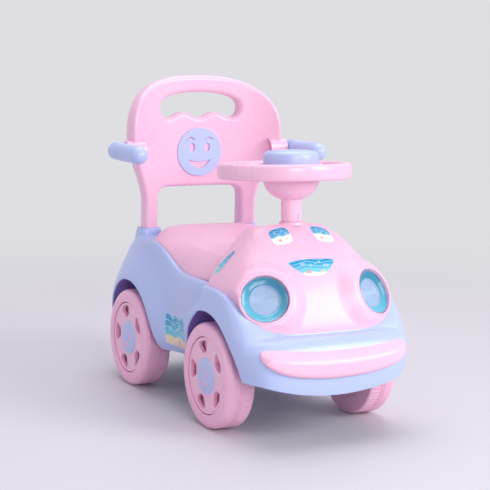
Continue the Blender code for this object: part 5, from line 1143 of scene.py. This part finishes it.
t = np.linspace(0.0, 4.0 * QUARTER, 48, endpoint=False)
outward = signed_power(np.sin(t), 0.55)
window_r = WINDOW_RADIUS + WINDOW_HALF * outward
window_a = np.radians(15.8 + 4.2 * outward) * signed_power(np.cos(t), 0.55)
window = places(window_r * np.cos(window_a), window_r * np.sin(window_a))
rim_lines = [oval(0.0, 0.0, RIM_RADIUS - 0.0007, RIM_RADIUS - 0.0007, 144),
             *(spun(window, 2.0 * math.pi * k / WINDOWS + WINDOW_TURN) for k in range(WINDOWS))]
rim_profile = [(0.0014, 0.0), *round_over(0.0010, 0.0010, 5), (0.0, 0.0070)]
barrel = rounded([(RIM_RADIUS, 0.134), (RIM_RADIUS, 0.121), (0.0540, 0.121), (0.0540, 0.134)], 0.0006)
hub_tube = [(0.0275, 0.134), (0.0275, 0.1295), (0.0110, 0.1290), (0.0110, 0.0965), (0.0042, 0.0965)]
dish_floor = [(0.0540, 0.1292), (0.0500, 0.1286), (0.0300, 0.1284), (0.0270, 0.1290)]
cap = rounded([(0.0, FACE_X - 0.0010), (0.018, FACE_X - 0.0012), (0.0262, FACE_X - 0.0020),
               (CAP_RADIUS, FACE_X - 0.0034), (CAP_RADIUS, 0.1345)], 0.0012, 6)

for end, _, axle_y in ARCHES:
    for side, word in SIDES:
        body, which = f"wheel_{end}_{word}", f"{end}_{word}"
        hub, axes = np.array([0.0, axle_y, AXLE_HEIGHT]), across_axes(side)
        tyre = places(side * across, axle_y + radius * np.cos(spin), AXLE_HEIGHT + radius * np.sin(spin))
        form(f"tyre_ring_{which}", [(np.concatenate([tyre, tyre[:1]]), True)], tyre_plastic, body,
             (f"tyre_{which}",), closed=True, angle=32.0)
        rim = plate(rim_lines, rim_profile, lambda u, v, deep: (
            side * (FACE_X - 0.0022 - deep - 0.0012 * smooth((0.054 - np.hypot(u, v)) / 0.02)), axle_y + u,
            AXLE_HEIGHT + v))
        settle(f"rim_face_{which}", rim, pink_plastic, body, (f"rim_{which}",), closed=True)
        form(f"rim_barrel_{which}", [turned(barrel, 96, hub, axes), turned(hub_tube, 48, hub, axes),
                                     turned(dish_floor, 96, hub, axes)], tyre_plastic, body,
             toward=(side * 0.2, axle_y, AXLE_HEIGHT))
        form(f"cap_disc_{which}", [turned(cap, 80, hub, axes)], badge_plastic, body, (f"hub_cap_{which}",),
             away=(side * 0.12, axle_y, AXLE_HEIGHT))
        for number, hole in enumerate(face_holes(INLAY_RADIUS)[:3]):
            inlay = plate([spun(hole, FACE_LEAN)], [(0.0003, 0.0), (0.0, 0.0003), (0.0, 0.0012)],
                          lambda u, v, deep: (side * (FACE_X - 0.0008 - deep), axle_y - side * u, AXLE_HEIGHT + v))
            settle(f"cap_inlay_{which}_{number}", inlay, cap_pink, body, closed=True)


# The small fittings.
# Zinc-plated steel axles, nuts, screws, shaft, clip, spring and hinge pin, and dark bushes and
# spacers; these nodes keep their own shapes.

def plated(name):
    """Zinc-plated steel: brushed along, with cloudy bright and dull patches."""
    finish = Finish(name, (0.62, 0.62, 0.64), 0.35, Metallic=1.0)
    cloud = finish.noise(90.0)
    finish.set("Base Color", finish.blend(cloud, (0.50, 0.50, 0.53), (0.72, 0.72, 0.70)))
    finish.set("Roughness", (cloud * 0.25) + 0.18)
    return finish.relief((finish.noise(400.0, 3.0, (0.2, 1.0, 1.0)), 0.00008))


steel = plated("zinc_plate")
acetal = moulded("dark_acetal", (0.020, 0.020, 0.026), (0.05, 0.05, 0.06), 0.45)
for name, node in nodes.items():
    if any(word in name for word in ("axle", "screw", "shaft", "clip", "spring", "pin")):
        node.material_slots[0].material = steel.material
    elif "bush" in name or "spacer" in name:
        node.material_slots[0].material = acetal.material
